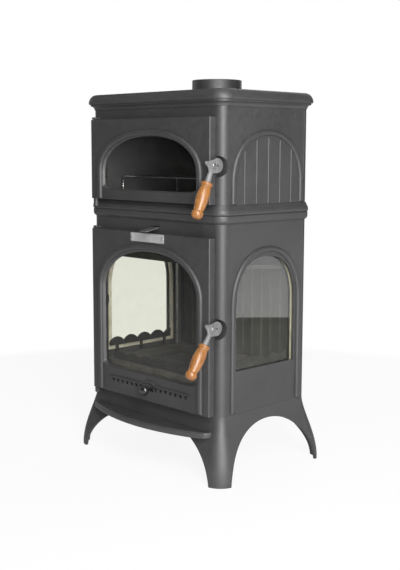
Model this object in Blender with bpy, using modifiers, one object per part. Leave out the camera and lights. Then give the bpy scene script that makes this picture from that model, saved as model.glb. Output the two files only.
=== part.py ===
"""Two-tier cast-iron wood burning stove: a firebox with three windows below, an oven above.

Metres, +Z up, +X to the stove's right as its front (-Y) is faced. Every piece is modelled about
the middle of the body's plan, with z = 0 on the floor, and the whole stove is then moved along Y
so that the origin is the middle of its overall footprint.
"""
import math

import bmesh
import bpy
from mathutils import Matrix, Vector

# Overall sizes
BODY_HALF_X = 0.2416
BODY_HALF_Y = 0.158
POST_RADIUS = 0.022
WALL = 0.006
GAP = 0.0003
FRAME_SHIFT_Y = 0.030692

# Heights of the tiers
Z_BASE = 0.165
Z_BAND = 0.6287
Z_NOTCH = 0.6492
Z_UPPER = 0.6728
Z_COVE = 0.905
Z_TOP = 0.945
Z_COLLAR = 0.983

# Base casting
FOOT_FLARE = 0.0378
FOOT_RADIUS = 0.045
BASE_WALL = 0.007
LIP_TOP = 0.1265
LIP_BOTTOM = 0.110
LIP_HALF = 0.2225
LIP_REACH = 0.2285

ASH_PAN_Z = (0.1830, 0.2240)

# Doors
DOOR_LEFT = -0.2235
DOOR_RIGHT = 0.2205
DOOR_POCKET = (-0.2040, 0.2135)
DOOR_FRONT = -0.177
DOOR_BACK = -0.1586
DOOR_PLATE = 0.008
FIRE_DOOR_Z = (0.1650, 0.5965)
OVEN_DOOR_Z = (0.6755, 0.8800)
HINGE_X = -0.2145
HINGE_Y = -0.1685
HINGE_PIN_RADIUS = 0.0025
RUNNING_CLEARANCE = 0.0003

# Arches: half width, springing height, apex height
FIRE_ARCH = (0.198, 0.4428, 0.5688)
OVEN_ARCH = (0.195, 0.748, 0.8532)
WINDOW_ARCH = (0.1285, 0.4275, 0.5695)
BLIND_ARCH = (0.130, 0.726, 0.852)
ARCH_POWER = 2.12
WINDOW_POWER = 2.4
RIB_WIDTH = 0.0165
RIB_HEIGHT = 0.0065
SIDE_ARCH_Y = 0.0035

# Glazed openings: half width, springing height, apex height, sill height
FIRE_GLASS = (0.1770, FIRE_ARCH[1], 0.5480, 0.2340)
OVEN_GLASS = (0.1745, OVEN_ARCH[1], 0.8365, 0.7025)
WINDOW_GLASS = (0.1070, WINDOW_ARCH[1], 0.5445, 0.2700)
REVEAL = 0.0055
GLASS_CORNER = 0.041
CORNER_FLATNESS = 0.34

# Latches
PIVOT_X = 0.228
PIVOT_Y = -0.174
FIRE_PIVOT_Z = 0.3826
OVEN_PIVOT_Z = 0.7685
FIRE_LATCH_TILT = 34.2
OVEN_LATCH_TILT = 24.2
LATCH_THICKNESS = 0.005
LATCH_TURN = 60.0
HOOK_REACH = 0.0143
HOOK_RADIUS = 0.0175
GROOVE_RADIUS = 0.0196
GROOVE_HALF = 0.0033
STRIKE_RADIUS = 0.0025
POCKET_CENTRE = (0.0103, -0.0038)
POCKET_RADIUS = 0.0262
POCKET_FLOOR_X = 0.2165
SHANK_END = -0.0437

# Air regulator
KNOB_X = 0.003
KNOB_Z = 0.196
AIR_SLOT_PITCH = 0.0185
AIR_SLOT_WIDTH = 0.0085
AIR_SLOT_Z = (0.1950, 0.2030)
KNOB_SLOT_HALF = (0.0165, 0.0045)

# Firebox fittings
HEARTH_Z = (0.2385, 0.2450)
GUARD_FOOT_Z = 0.2454

# Tie rods
ROD_X = 0.2230
ROD_Y = 0.1305
ROD_RADIUS = 0.004

# Flue
FLUE_Y = 0.068
FLUE_OUTER = 0.065
FLUE_INNER = 0.059

ARC_STEPS = 4
ARCH_STEPS = 8

MODEL = bpy.data.collections.new("wood_burning_stove")
CUTTERS = bpy.data.collections.new("cutters")
MATERIALS = {}


# ---------------------------------------------------------------- scene and materials

def start_scene():
    for old in list(bpy.data.objects):
        bpy.data.objects.remove(old, do_unlink=True)
    bpy.context.scene.collection.children.link(MODEL)
    bpy.context.scene.collection.children.link(CUTTERS)
    root = bpy.data.objects.new("stove_origin", None)
    root.location = (0.0, FRAME_SHIFT_Y, 0.0)
    MODEL.objects.link(root)
    return root


def material(name, colour, roughness, metallic):
    if name not in MATERIALS:
        mat = bpy.data.materials.new(name)
        mat.use_nodes = True
        shader = mat.node_tree.nodes["Principled BSDF"]
        shader.inputs["Base Color"].default_value = (*colour, 1.0)
        shader.inputs["Roughness"].default_value = roughness
        shader.inputs["Metallic"].default_value = metallic
        MATERIALS[name] = mat
    return MATERIALS[name]


def finish_for(name):
    """The material of a node: shared settings by family, one material per part."""
    families = {
        "iron": ((0.050, 0.050, 0.054), 0.50, 0.60),
        "liner": ((0.035, 0.032, 0.030), 0.80, 0.30),
        "steel": ((0.42, 0.42, 0.43), 0.35, 1.00),
        "chrome": ((0.80, 0.80, 0.82), 0.12, 1.00),
        "plate": ((0.70, 0.70, 0.72), 0.35, 1.00),
        "wood": ((0.55, 0.25, 0.09), 0.30, 0.00),
        "glass": ((0.80, 0.84, 0.84), 0.03, 0.00),
        "rope": ((0.55, 0.52, 0.44), 0.95, 0.00),
        "knob": ((0.015, 0.015, 0.017), 0.15, 0.00),
        "board": ((0.42, 0.37, 0.30), 0.95, 0.00),
    }
    words = (
        ("grip", "wood"), ("air_knob", "knob"), ("nameplate", "plate"), ("door_gasket", "rope"),
        ("glass_seal", "board"), ("glass_clip", "steel"), ("glass", "glass"), ("rack", "chrome"),
        ("pin", "steel"), ("lever", "steel"), ("tie_rod", "steel"), ("baffle", "liner"),
        ("liner", "liner"), ("grate", "liner"), ("hearth", "liner"), ("log_guard", "liner"),
        ("ash_pan", "liner"), ("air_slide", "steel"), ("damper", "steel"),
    )
    family = next((kind for word, kind in words if word in name), "iron")
    return material(name + "_finish", *families[family])


# ---------------------------------------------------------------- modelling helpers

def place(obj, root, cutter=False):
    obj.parent = root
    if cutter:
        CUTTERS.objects.link(obj)
        obj.hide_render = True
        obj.display_type = "WIRE"
        return obj
    MODEL.objects.link(obj)
    obj.data.materials.clear()
    obj.data.materials.append(finish_for(obj.name))
    return obj


def mesh_object(name, bm, root, cutter=False, smooth=False):
    bm.normal_update()
    bmesh.ops.recalc_face_normals(bm, faces=bm.faces)
    mesh = bpy.data.meshes.new(name)
    bm.to_mesh(mesh)
    bm.free()
    if smooth:
        mesh.shade_smooth()
        mesh.set_sharp_from_angle(angle=math.radians(35))
    return place(bpy.data.objects.new(name, mesh), root, cutter)


def add_box(bm, low, high):
    """A box between two corners, added to a bmesh."""
    made = bmesh.ops.create_cube(bm, size=1.0)
    low, high = Vector(low), Vector(high)
    for vert in made["verts"]:
        vert.co = (low + high) / 2 + Vector(c * s for c, s in zip(vert.co, high - low))


def box(name, low, high, root, cutter=False, bevel=0.0):
    bm = bmesh.new()
    add_box(bm, low, high)
    obj = mesh_object(name, bm, root, cutter)
    if bevel:
        round_edges(obj, bevel, 2)
    return obj


def round_edges(obj, width, segments):
    mod = obj.modifiers.new("rounded_edges", "BEVEL")
    mod.width = width
    mod.segments = segments
    mod.limit_method = "ANGLE"
    mod.angle_limit = math.radians(40)


def cylinder(name, start, end, radius, root, cutter=False, sides=20, end_radius=None):
    """A straight rod or cone between two points."""
    start, end = Vector(start), Vector(end)
    axis = end - start
    turn = axis.to_track_quat("Z", "Y").to_matrix().to_4x4()
    bm = bmesh.new()
    bmesh.ops.create_cone(bm, cap_ends=True, segments=sides, radius1=radius,
                          radius2=radius if end_radius is None else end_radius, depth=axis.length)
    bmesh.ops.transform(bm, matrix=Matrix.Translation((start + end) / 2) @ turn, verts=bm.verts)
    return mesh_object(name, bm, root, cutter, smooth=True)


# The plane a flat outline is drawn in, as the directions of its two axes and of its thickness
PLANES = {
    "plan": ((1, 0, 0), (0, 1, 0), (0, 0, 1)),
    "front": ((1, 0, 0), (0, 0, 1), (0, 1, 0)),
    "side": ((0, 1, 0), (0, 0, 1), (1, 0, 0)),
}


def extruded(name, plane, outlines, low, high, root, cutter=False):
    """A flat outline, with any holes, given thickness from low to high across its plane."""
    curve = bpy.data.curves.new(name, "CURVE")
    curve.dimensions = "2D"
    curve.fill_mode = "BOTH"
    curve.extrude = (high - low) / 2
    for outline in outlines:
        spline = curve.splines.new("POLY")
        spline.points.add(len(outline) - 1)
        for point, (u, v) in zip(spline.points, outline):
            point.co = (u, v, 0.0, 1.0)
        spline.use_cyclic_u = True
    drawn = bpy.data.objects.new(name + "_outline", curve)
    bpy.context.scene.collection.objects.link(drawn)
    bpy.context.view_layer.update()
    mesh = bpy.data.meshes.new_from_object(drawn.evaluated_get(bpy.context.evaluated_depsgraph_get()))
    bpy.data.objects.remove(drawn, do_unlink=True)
    bm = bmesh.new()
    bm.from_mesh(mesh)
    bpy.data.meshes.remove(mesh)
    bmesh.ops.remove_doubles(bm, verts=bm.verts, dist=1e-6)
    u_axis, v_axis, w_axis = (Vector(a) for a in PLANES[plane])
    middle = (low + high) / 2
    for vert in bm.verts:
        u, v, w = vert.co
        vert.co = u_axis * u + v_axis * v + w_axis * (w + middle)
    return mesh_object(name, bm, root, cutter)


def wire(name, points, radius, root, cyclic=False, cutter=False, sides_level=1):
    """A round wire or rope along a run of points, made a mesh with its ends closed."""
    curve = bpy.data.curves.new(name, "CURVE")
    curve.dimensions = "3D"
    curve.bevel_depth = radius
    curve.bevel_resolution = sides_level
    curve.use_fill_caps = not cyclic
    spline = curve.splines.new("POLY")
    spline.points.add(len(points) - 1)
    for point, place_at in zip(spline.points, points):
        point.co = (*place_at, 1.0)
    spline.use_cyclic_u = cyclic
    drawn = bpy.data.objects.new(name + "_run", curve)
    bpy.context.scene.collection.objects.link(drawn)
    bpy.context.view_layer.update()
    mesh = bpy.data.meshes.new_from_object(drawn.evaluated_get(bpy.context.evaluated_depsgraph_get()))
    bpy.data.objects.remove(drawn, do_unlink=True)
    bm = bmesh.new()
    bm.from_mesh(mesh)
    bpy.data.meshes.remove(mesh)
    bmesh.ops.remove_doubles(bm, verts=bm.verts, dist=1e-6)
    return mesh_object(name, bm, root, cutter, smooth=True)


def turned(name, profile, root, steps=20, ring=False):
    """A piece turned about its own Z axis; the profile is (radius, height), top to bottom."""
    mesh = bpy.data.meshes.new(name)
    points = [(radius, 0.0, height) for radius, height in profile]
    edges = [(i, i + 1) for i in range(len(points) - 1)]
    if ring:
        edges.append((len(points) - 1, 0))
    mesh.from_pydata(points, edges, [])
    obj = place(bpy.data.objects.new(name, mesh), root)
    mod = obj.modifiers.new("turned", "SCREW")
    mod.steps = steps
    mod.render_steps = steps
    mod.use_merge_vertices = True
    mod.merge_threshold = 0.00001
    mod.use_smooth_shade = True
    return obj


def cut(obj, cutter):
    combine(obj, cutter, "DIFFERENCE")


def join(obj, addition):
    combine(obj, addition, "UNION")


def combine(obj, other, operation):
    mod = obj.modifiers.new(operation.lower() + "_" + other.name, "BOOLEAN")
    mod.operation = operation
    mod.object = other


def arc(centre, radius, start, end, steps=ARC_STEPS):
    """Points on an arc in an outline's plane, angles in degrees."""
    angles = [math.radians(start + (end - start) * i / steps) for i in range(steps + 1)]
    return [(centre[0] + radius * math.cos(a), centre[1] + radius * math.sin(a)) for a in angles]


def rounded_rect(half_u, half_v, radius, steps=ARC_STEPS, centre=(0.0, 0.0)):
    """A rectangle with round corners, anticlockwise from its right edge."""
    points = []
    for start, su, sv in ((0, 1, 1), (90, -1, 1), (180, -1, -1), (270, 1, -1)):
        corner = (centre[0] + su * (half_u - radius), centre[1] + sv * (half_v - radius))
        points += arc(corner, radius, start, start + 90, steps)
    return points


def arch_curve(half, spring, apex, centre=0.0, power=ARCH_POWER, steps=ARCH_STEPS):
    """The rounded head of an arch from its right springing over to its left one."""
    points = []
    for i in range(2 * steps + 1):
        angle = math.pi * i / (2 * steps)
        cosine, sine = math.cos(angle), math.sin(angle)
        u = half * math.copysign(abs(cosine) ** (2 / power), cosine)
        v = (apex - spring) * abs(sine) ** (2 / power)
        points.append((centre + u, spring + v))
    return points


def arch_band(half, spring, apex, foot, width, centre=0.0):
    """A horseshoe outline of constant width: the raised moulding round an arch."""
    outer = arch_curve(half, spring, apex, centre)
    inner = arch_curve(half - width, spring, apex - width * 0.85, centre)
    return ([(centre + half, foot)] + outer + [(centre - half, foot)]
            + [(centre - half + width, foot)] + inner[::-1] + [(centre + half - width, foot)])


def arch_opening(half, spring, apex, sill, corner=0.0, power=ARCH_POWER):
    """A closed arch-headed opening; its lower corners can be flattened quarter circles."""
    head = arch_curve(half, spring, apex, 0.0, power)
    if not corner:
        return head + [(-half, sill), (half, sill)]
    quarters = (arc((corner - half, corner), corner, 180, 270)
                + arc((half - corner, corner), corner, 270, 360))
    return head + [(u, sill + CORNER_FLATNESS * v) for u, v in quarters]


def stacked(name, rings, root, cutter=False):
    """A solid through a stack of matching rings of points, closed at both ends."""
    bm = bmesh.new()
    rows = [[bm.verts.new(point) for point in ring] for ring in rings]
    count = len(rows[0])
    for lower, upper in zip(rows, rows[1:]):
        for i in range(count):
            j = (i + 1) % count
            bm.faces.new((lower[i], lower[j], upper[j], upper[i]))
    bm.faces.new(rows[0])
    bm.faces.new(rows[-1])
    return mesh_object(name, bm, root, cutter, smooth=True)


def body_ring(offset, height, radius=None, steps=ARC_STEPS):
    """The body's rounded plan, grown by an offset, at a height."""
    corner = POST_RADIUS + offset if radius is None else radius
    plan = rounded_rect(BODY_HALF_X + offset, BODY_HALF_Y + offset, corner, steps)
    return [(x, y, height) for x, y in plan]


# ---------------------------------------------------------------- base and bottom

def flare(height):
    """How far the base has swept out at a height: 0 under the body, 1 at the floor."""
    depth = min(max((Z_BASE - height) / Z_BASE, 0.0), 1.0) ** 0.82
    return depth * depth * (3 - 2 * depth)


def base_rings(inset, low, high):
    heights = [high - (high - low) * i / 9 for i in range(10)]
    return [body_ring(FOOT_FLARE * flare(z) - inset, z,
                      POST_RADIUS + (FOOT_RADIUS - POST_RADIUS) * flare(z) - inset * 0.6)
            for z in heights]


def arch_cutter(name, plane, half, rise, centre, low, high, root, ceiling=1.0):
    """An elliptical tunnel from the floor that leaves legs at either side."""
    middle = -0.010
    points = []
    for i in range(25):
        angle = math.pi * i / 24
        v = min(middle + rise * math.sin(angle), ceiling)
        points.append((centre + half * math.cos(angle), v))
    points += [(centre - half, -0.05), (centre + half, -0.05)]
    return extruded(name, plane, [points], low, high, root, cutter=True)


def lip_outline(inset, back):
    """The bowed plan of the ash lip."""
    half = LIP_HALF - inset
    reach = LIP_REACH - inset
    run = half - 0.024
    bow = [run * (i / 6 - 1) for i in range(13)]
    front = [(x, -reach + 0.97 * x * x) for x in bow]
    edge = front[0][1]
    sweep = back - edge
    left = [(-half, back), (-half + 0.0025, back - 0.40 * sweep), (-half + 0.010, back - 0.80 * sweep)]
    return left + front + [(-x, y) for x, y in reversed(left)]


def base_casting(root):
    base = stacked("base_casting", base_rings(0.0, 0.0, Z_BASE), root)
    inner = stacked("base_hollow", base_rings(BASE_WALL, -0.004, Z_BASE - 0.009), root, cutter=True)
    cut(base, inner)
    deck = extruded("base_deck_opening", "plan", [rounded_rect(0.195, 0.110, 0.02)],
                    Z_BASE - 0.03, Z_BASE + 0.01, root, cutter=True)
    cut(base, deck)
    cut(base, arch_cutter("base_side_arch", "side", 0.160, 0.147, SIDE_ARCH_Y, -0.4, 0.4, root))
    cut(base, arch_cutter("base_front_arch", "front", 0.2385, 0.145, 0.0, -0.4, -0.1, root,
                          ceiling=LIP_BOTTOM - 0.002))
    cut(base, arch_cutter("base_rear_arch", "front", 0.2385, 0.147, 0.0, 0.1, 0.4, root))
    lip = extruded("base_lip", "plan", [lip_outline(0.0, -0.152)], LIP_BOTTOM, LIP_TOP, root,
                   cutter=True)
    round_edges(lip, 0.0042, 2)
    join(base, lip)
    dish = extruded("base_lip_dish", "plan", [lip_outline(0.010, -0.1665)], LIP_TOP - 0.005,
                    LIP_TOP + 0.01, root, cutter=True)
    cut(base, dish)
    hinge_lug(base, "base", 0.1496, 0.1644, root)
    cut(base, rod_holes("base_rod_holes", 0.14, 0.18, root))


def rod_holes(name, low, high, root):
    """Clearance holes for the four tie rods at the corners."""
    bm = bmesh.new()
    for sx in (-1, 1):
        for sy in (-1, 1):
            made = bmesh.ops.create_cone(bm, cap_ends=True, segments=8, depth=high - low,
                                         radius1=ROD_RADIUS + 0.0007, radius2=ROD_RADIUS + 0.0007)
            centre = Vector((sx * ROD_X, sy * ROD_Y, (low + high) / 2))
            bmesh.ops.translate(bm, verts=made["verts"], vec=centre)
    return mesh_object(name, bm, root, cutter=True)


def tie_rods(root):
    top, bottom = Z_COVE - 0.001, 0.1495
    head = 0.1557
    profile = [(0.0, top), (ROD_RADIUS, top), (ROD_RADIUS, head), (0.0078, head),
               (0.0078, bottom), (0.0, bottom)]
    for side, sx in (("left", -1), ("right", 1)):
        for end, sy in (("front", -1), ("rear", 1)):
            rod = turned(f"tie_rod_{end}_{side}", profile, root, steps=8)
            rod.location = (sx * ROD_X, sy * ROD_Y, 0.0)


def bottom_plate(root):
    x, y, chamfer = 0.2343, 0.1508, 0.040
    outline = [(x, y - chamfer), (x - chamfer, y), (-x + chamfer, y), (-x, y - chamfer),
               (-x, -y + chamfer), (-x + chamfer, -y), (x - chamfer, -y), (x, -y + chamfer)]
    plate = extruded("bottom_plate", "plan", [outline], Z_BASE + GAP, Z_BASE + 0.0063, root)
    for side in (-1, 1):
        rail = box(f"ash_pan_rail_{side + 1}", (side * 0.120 - 0.006, -0.140, Z_BASE + 0.004),
                   (side * 0.120 + 0.006, 0.130, ASH_PAN_Z[0] - GAP), root, cutter=True)
        join(plate, rail)


# ---------------------------------------------------------------- castings of the two tiers

def end_outline(sign):
    """Plan of a front or rear casting: a wall that turns both corners of the body."""
    seam = BODY_HALF_Y - POST_RADIUS
    centre_x = BODY_HALF_X - POST_RADIUS
    outer = arc((centre_x, seam), POST_RADIUS, 0, 90)
    inner = arc((centre_x, seam), POST_RADIUS - WALL, 90, 0)
    right = [(x, sign * y) for x, y in outer]
    left = [(-x, y) for x, y in reversed(right)]
    inner_right = [(x, sign * y) for x, y in inner]
    inner_left = [(-x, y) for x, y in reversed(inner_right)]
    return right + left + inner_left + inner_right


def latch_pocket(frame, tag, pivot_z, root):
    """A solid corner with the round pocket that the latch hook works in."""
    centre = (BODY_HALF_X - POST_RADIUS, -(BODY_HALF_Y - POST_RADIUS))
    front, back, half_height = -0.1548, -0.1362, 0.036
    outline = ([(0.204, back), (0.204, front), (centre[0], front)]
               + arc(centre, 0.0188, 275, 359))
    block = extruded(tag + "_pocket_block", "plan", [outline], pivot_z - half_height,
                     pivot_z + half_height, root, cutter=True)
    join(frame, block)
    y, z = PIVOT_Y + POCKET_CENTRE[0], pivot_z + POCKET_CENTRE[1]
    pocket = cylinder(tag + "_pocket", (POCKET_FLOOR_X, y, z), (0.27, y, z), POCKET_RADIUS, root,
                      cutter=True, sides=32)
    cut(frame, pocket)


def hinge_lug(casting, tag, low, high, root):
    """A lug standing forward of a casting that holds a door's hinge pin."""
    lug = box(tag + "_hinge_lug", (HINGE_X - 0.0065, HINGE_Y - 0.0065, low),
              (HINGE_X + 0.0065, -0.1545, high), root, cutter=True, bevel=0.0015)
    join(casting, lug)
    hole = cylinder(tag + "_hinge_hole", (HINGE_X, HINGE_Y, max(low, high - 0.0075) - 0.0005),
                    (HINGE_X, HINGE_Y, high + 0.002), HINGE_PIN_RADIUS + RUNNING_CLEARANCE, root,
                    cutter=True, sides=12)
    cut(casting, hole)


def front_frames(root):
    lower = extruded("lower_front_frame", "plan", [end_outline(-1)], Z_BASE + GAP, Z_BAND - GAP, root)
    latch_pocket(lower, "lower", FIRE_PIVOT_Z, root)
    opening = extruded("lower_frame_opening", "front",
                       [rounded_rect(0.189, 0.200, 0.02, 4, (0.0, 0.381))], -0.17, -0.12, root, True)
    cut(lower, opening)
    hinge_lug(lower, "lower", FIRE_DOOR_Z[1] + 0.0006, FIRE_DOOR_Z[1] + 0.0066, root)
    slot = box("damper_slot", (-0.0035, -0.17, 0.6070), (0.0270, -0.14, 0.6140), root, True)
    cut(lower, slot)

    upper = extruded("upper_front_frame", "plan", [end_outline(-1)], Z_UPPER + GAP, Z_COVE - GAP, root)
    latch_pocket(upper, "upper", OVEN_PIVOT_Z, root)
    opening = extruded("upper_frame_opening", "front",
                       [rounded_rect(0.187, 0.086, 0.02, 4, (0.0, 0.7775))], -0.17, -0.12, root, True)
    cut(upper, opening)
    hinge_lug(upper, "upper", OVEN_DOOR_Z[1] + 0.0006, OVEN_DOOR_Z[1] + 0.0066, root)


def rear_panels(root):
    for tier, low, high in (("lower", Z_BASE, Z_BAND), ("upper", Z_UPPER, Z_COVE)):
        panel = extruded(tier + "_rear_panel", "plan", [end_outline(1)], low + GAP, high - GAP, root)
        inset = extruded(tier + "_rear_inset", "front",
                         [rounded_rect(0.185, (high - low) / 2 - 0.03, 0.015, 3,
                                       (0.0, (low + high) / 2))],
                         BODY_HALF_Y - 0.002, BODY_HALF_Y + 0.02, root, cutter=True)
        cut(panel, inset)


def side_rib(name, arch, foot, side, root):
    """The raised half-round moulding that frames an arch on a side panel."""
    outline = arch_band(*arch, foot, RIB_WIDTH, SIDE_ARCH_Y)
    faces = sorted((side * (BODY_HALF_X - 0.0055), side * (BODY_HALF_X + RIB_HEIGHT)))
    rib = extruded(name, "side", [outline], *faces, root, cutter=True)
    round_edges(rib, 0.0045, 2)
    return rib


def side_panels(root):
    half_y = BODY_HALF_Y - POST_RADIUS - GAP
    for tag, side in (("left", -1), ("right", 1)):
        faces = sorted((side * (BODY_HALF_X - WALL), side * BODY_HALF_X))
        rect = [(half_y, Z_BASE + GAP), (half_y, Z_BAND - GAP), (-half_y, Z_BAND - GAP),
                (-half_y, Z_BASE + GAP)]
        window = arch_opening(*WINDOW_GLASS, power=WINDOW_POWER)
        panel = extruded("lower_side_panel_" + tag, "side", [rect, window], *faces, root)
        join(panel, side_rib("window_rib_" + tag, WINDOW_ARCH, Z_BASE + 0.0015, side, root))

        rect = [(half_y, Z_UPPER + GAP), (half_y, Z_COVE - GAP), (-half_y, Z_COVE - GAP),
                (-half_y, Z_UPPER + GAP)]
        panel = extruded("upper_side_panel_" + tag, "side", [rect], *faces, root)
        join(panel, side_rib("blind_rib_" + tag, BLIND_ARCH, Z_UPPER + 0.0015, side, root))
        join(panel, flutes("flutes_" + tag, side, root))


def flutes(name, side, root):
    """Five thin vertical ribs inside the blind arch, their tops following its head."""
    bm = bmesh.new()
    half, spring, apex = BLIND_ARCH
    for i in range(5):
        y = SIDE_ARCH_Y + (i - 2) * 0.042
        rise = (1 - (abs(y - SIDE_ARCH_Y) / half) ** ARCH_POWER) ** (1 / ARCH_POWER)
        top = spring + (apex - spring) * rise - 0.019
        inner, outer = side * (BODY_HALF_X - 0.002), side * (BODY_HALF_X + 0.003)
        add_box(bm, (min(inner, outer), y - 0.0022, Z_UPPER + 0.0018),
                (max(inner, outer), y + 0.0022, top))
    return mesh_object(name, bm, root, cutter=True)


# ---------------------------------------------------------------- moulded plates and the top

def moulded_frame(name, profile, root):
    """A plate with a moulded edge all round, open in the middle for the smoke."""
    frame = stacked(name, [body_ring(offset, height) for height, offset in profile], root)
    low, high = profile[0][0], profile[-1][0]
    opening = extruded(name + "_opening", "plan", [rounded_rect(0.205, 0.122, 0.015, 3)],
                       low - 0.01, high + 0.01, root, cutter=True)
    cut(frame, opening)
    cut(frame, rod_holes(name + "_rod_holes", low - 0.01, high + 0.01, root))
    return frame


def band_plates(root):
    moulded_frame("firebox_top_plate",
                  [(Z_BAND, 0.0008), (0.6312, 0.0034), (0.6345, 0.0062), (0.6385, 0.0071),
                   (0.6475, 0.0071), (Z_NOTCH - GAP, 0.0055)], root)
    plate = moulded_frame("oven_base_plate",
                          [(Z_NOTCH, 0.0055), (0.6512, 0.0080), (0.6555, 0.0085), (0.6610, 0.0074),
                           (0.6665, 0.0047), (Z_UPPER, 0.0018)], root)
    boss = cylinder("oven_hinge_boss", (HINGE_X, HINGE_Y, 0.656), (HINGE_X, HINGE_Y, 0.6749),
                    0.0068, root, cutter=True)
    join(plate, boss)
    hole = cylinder("oven_hinge_hole", (HINGE_X, HINGE_Y, 0.667), (HINGE_X, HINGE_Y, 0.68),
                    HINGE_PIN_RADIUS + RUNNING_CLEARANCE, root, cutter=True, sides=12)
    cut(plate, hole)


def top_plate(root):
    profile = [(Z_COVE, 0.0008), (0.9085, 0.0032), (0.9115, 0.0078), (0.9150, 0.0112),
               (0.9196, 0.0122), (0.9202, 0.0166), (0.9235, 0.0172), (0.9300, 0.0159),
               (0.9360, 0.0130), (0.9410, 0.0086), (0.9440, 0.0040), (Z_TOP, -0.0010)]
    plate = stacked("top_plate", [body_ring(offset, height) for height, offset in profile], root)
    hollow = extruded("top_plate_hollow", "plan", [rounded_rect(0.209, 0.126, 0.012, 3)],
                      Z_COVE - 0.01, Z_TOP - 0.009, root, cutter=True)
    cut(plate, hollow)
    flue = cylinder("top_plate_flue_hole", (0, FLUE_Y, Z_TOP - 0.03), (0, FLUE_Y, Z_TOP + 0.03),
                    FLUE_INNER, root, cutter=True, sides=32)
    cut(plate, flue)


def flue_collar(root):
    low, high = Z_TOP + GAP, Z_COLLAR
    profile = [(FLUE_INNER, high), (FLUE_OUTER - 0.0008, high), (FLUE_OUTER, high - 0.0008),
               (FLUE_OUTER, low), (FLUE_INNER, low)]
    collar = turned("flue_collar", profile, root, steps=36, ring=True)
    collar.location = (0.0, FLUE_Y, 0.0)


# ---------------------------------------------------------------- inside the firebox

def hearth_and_grate(root):
    """The hearth plate with its turned-down front lip, and the slotted grate let into it."""
    low, high = HEARTH_Z
    floor = [rounded_rect(0.212, 0.148, 0.01, 2), rounded_rect(0.130, 0.085, 0.006, 2)[::-1]]
    plate = extruded("hearth_plate", "plan", floor, low, high, root)
    lip = box("hearth_lip", (-0.183, -0.157, 0.2290), (0.183, -0.1475, high), root, cutter=True)
    join(plate, lip)
    slots = [rounded_rect(0.0045, 0.036, 0.0030, 1, (x * 0.0175, y * 0.0385))[::-1]
             for x in range(-6, 7) for y in (-1, 1)]
    extruded("grate", "plan", [rounded_rect(0.1292, 0.0842, 0.006, 2)] + slots, low + 0.0005,
             high + 0.0010, root)


def ash_pan(root):
    x, front, back, sheet = 0.150, -0.128, 0.105, 0.0022
    pan = box("ash_pan", (-x, front, ASH_PAN_Z[0]), (x, back, ASH_PAN_Z[1]), root)
    inside = box("ash_pan_inside", (-x + sheet, front + sheet, ASH_PAN_Z[0] + sheet),
                 (x - sheet, back - sheet, ASH_PAN_Z[1] + 0.02), root, cutter=True)
    cut(pan, inside)


def rear_liner(root):
    """The firebox back plate, ribbed up its front face."""
    x, back, face, pitch = 0.198, 0.1495, 0.1405, 0.033
    outline = [(x, back), (-x, back), (-x, face)]
    for i in range(-5, 6):
        centre = i * pitch
        outline += [(centre - 0.0045, face), (centre - 0.003, face - 0.006),
                    (centre + 0.003, face - 0.006), (centre + 0.0045, face)]
    outline += [(x, face)]
    extruded("rear_liner", "plan", [outline], 0.2460, 0.490, root)


def baffle_plate(root):
    """The plate over the fire that sends the smoke forward before it rises, its front edge upturned."""
    x, front, back, lip = 0.200, -0.100, 0.148, 0.008
    outline = [(front, 0.517), (front, 0.541), (front + lip, 0.541), (front + lip, 0.5264),
               (back, 0.507), (back, 0.497)]
    extruded("baffle_plate", "side", [outline], -x, x, root)


def scalloped_top(start, end, low, high, humps):
    """A run of round humps from start to end, like a fence of split logs."""
    points = []
    steps = round(6 * humps)
    skipped = round(6 * (math.ceil(humps) - humps))
    for i in range(steps + 1):
        lift = abs(math.sin(math.pi * (i + skipped) / 6)) ** 0.7
        points.append((start + (end - start) * i / steps, low + (high - low) * lift))
    return points


def guard_feet(front, back, underside):
    """The lower edge of a side guard: a straight underside carried on three narrow feet."""
    points = [(front, underside)]
    for centre in (-0.096, -0.008, 0.080):
        left, right = centre - 0.004, centre + 0.004
        points += [(left, underside), (left, GUARD_FOOT_Z), (right, GUARD_FOOT_Z), (right, underside)]
    return points + [(back, underside)]


def log_guards(root):
    front, back = -0.1215, 0.1020
    for tag, side in (("left", -1), ("right", 1)):
        faces = sorted((side * 0.2180, side * 0.2230))
        outline = guard_feet(front, back, 0.2690) + scalloped_top(back, front, 0.2790, 0.2925, 4.5)
        extruded("log_guard_" + tag, "side", [outline], *faces, root)
    half = 0.176
    outline = [(-half, GUARD_FOOT_Z), (half, GUARD_FOOT_Z)] + scalloped_top(half, -half, 0.2580, 0.2680, 7)
    extruded("log_guard_front", "front", [outline], -0.1440, -0.1390, root)


def side_windows(root):
    """The side panes, each held by a frame of flat sealing tape on its inner face."""
    half, spring, apex, sill = WINDOW_GLASS
    for tag, side in (("left", -1), ("right", 1)):
        faces = sorted((side * 0.2312, side * 0.2353))
        pane_outline = arch_opening(half + 0.009, spring, apex + 0.010, sill - 0.0095, 0.0, WINDOW_POWER)
        extruded("side_glass_" + tag, "side", [pane_outline], *faces, root)
        faces = sorted((side * 0.2265, side * 0.2309))
        outer = arch_opening(half + 0.0125, spring, apex + 0.0125, sill - 0.0125, 0.0, WINDOW_POWER)
        inner = arch_opening(half + 0.002, spring, apex + 0.003, sill - 0.003, 0.0, WINDOW_POWER)
        extruded("side_glass_seal_" + tag, "side", [outer, inner[::-1]], *faces, root)


# ---------------------------------------------------------------- oven

def oven_box(root):
    shell = box("oven_box", (-0.200, -0.1516, 0.6835), (0.200, 0.118, 0.8715), root)
    inside = box("oven_space", (-0.1965, -0.18, 0.6870), (0.1965, 0.1145, 0.8680), root, True)
    cut(shell, inside)


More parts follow.
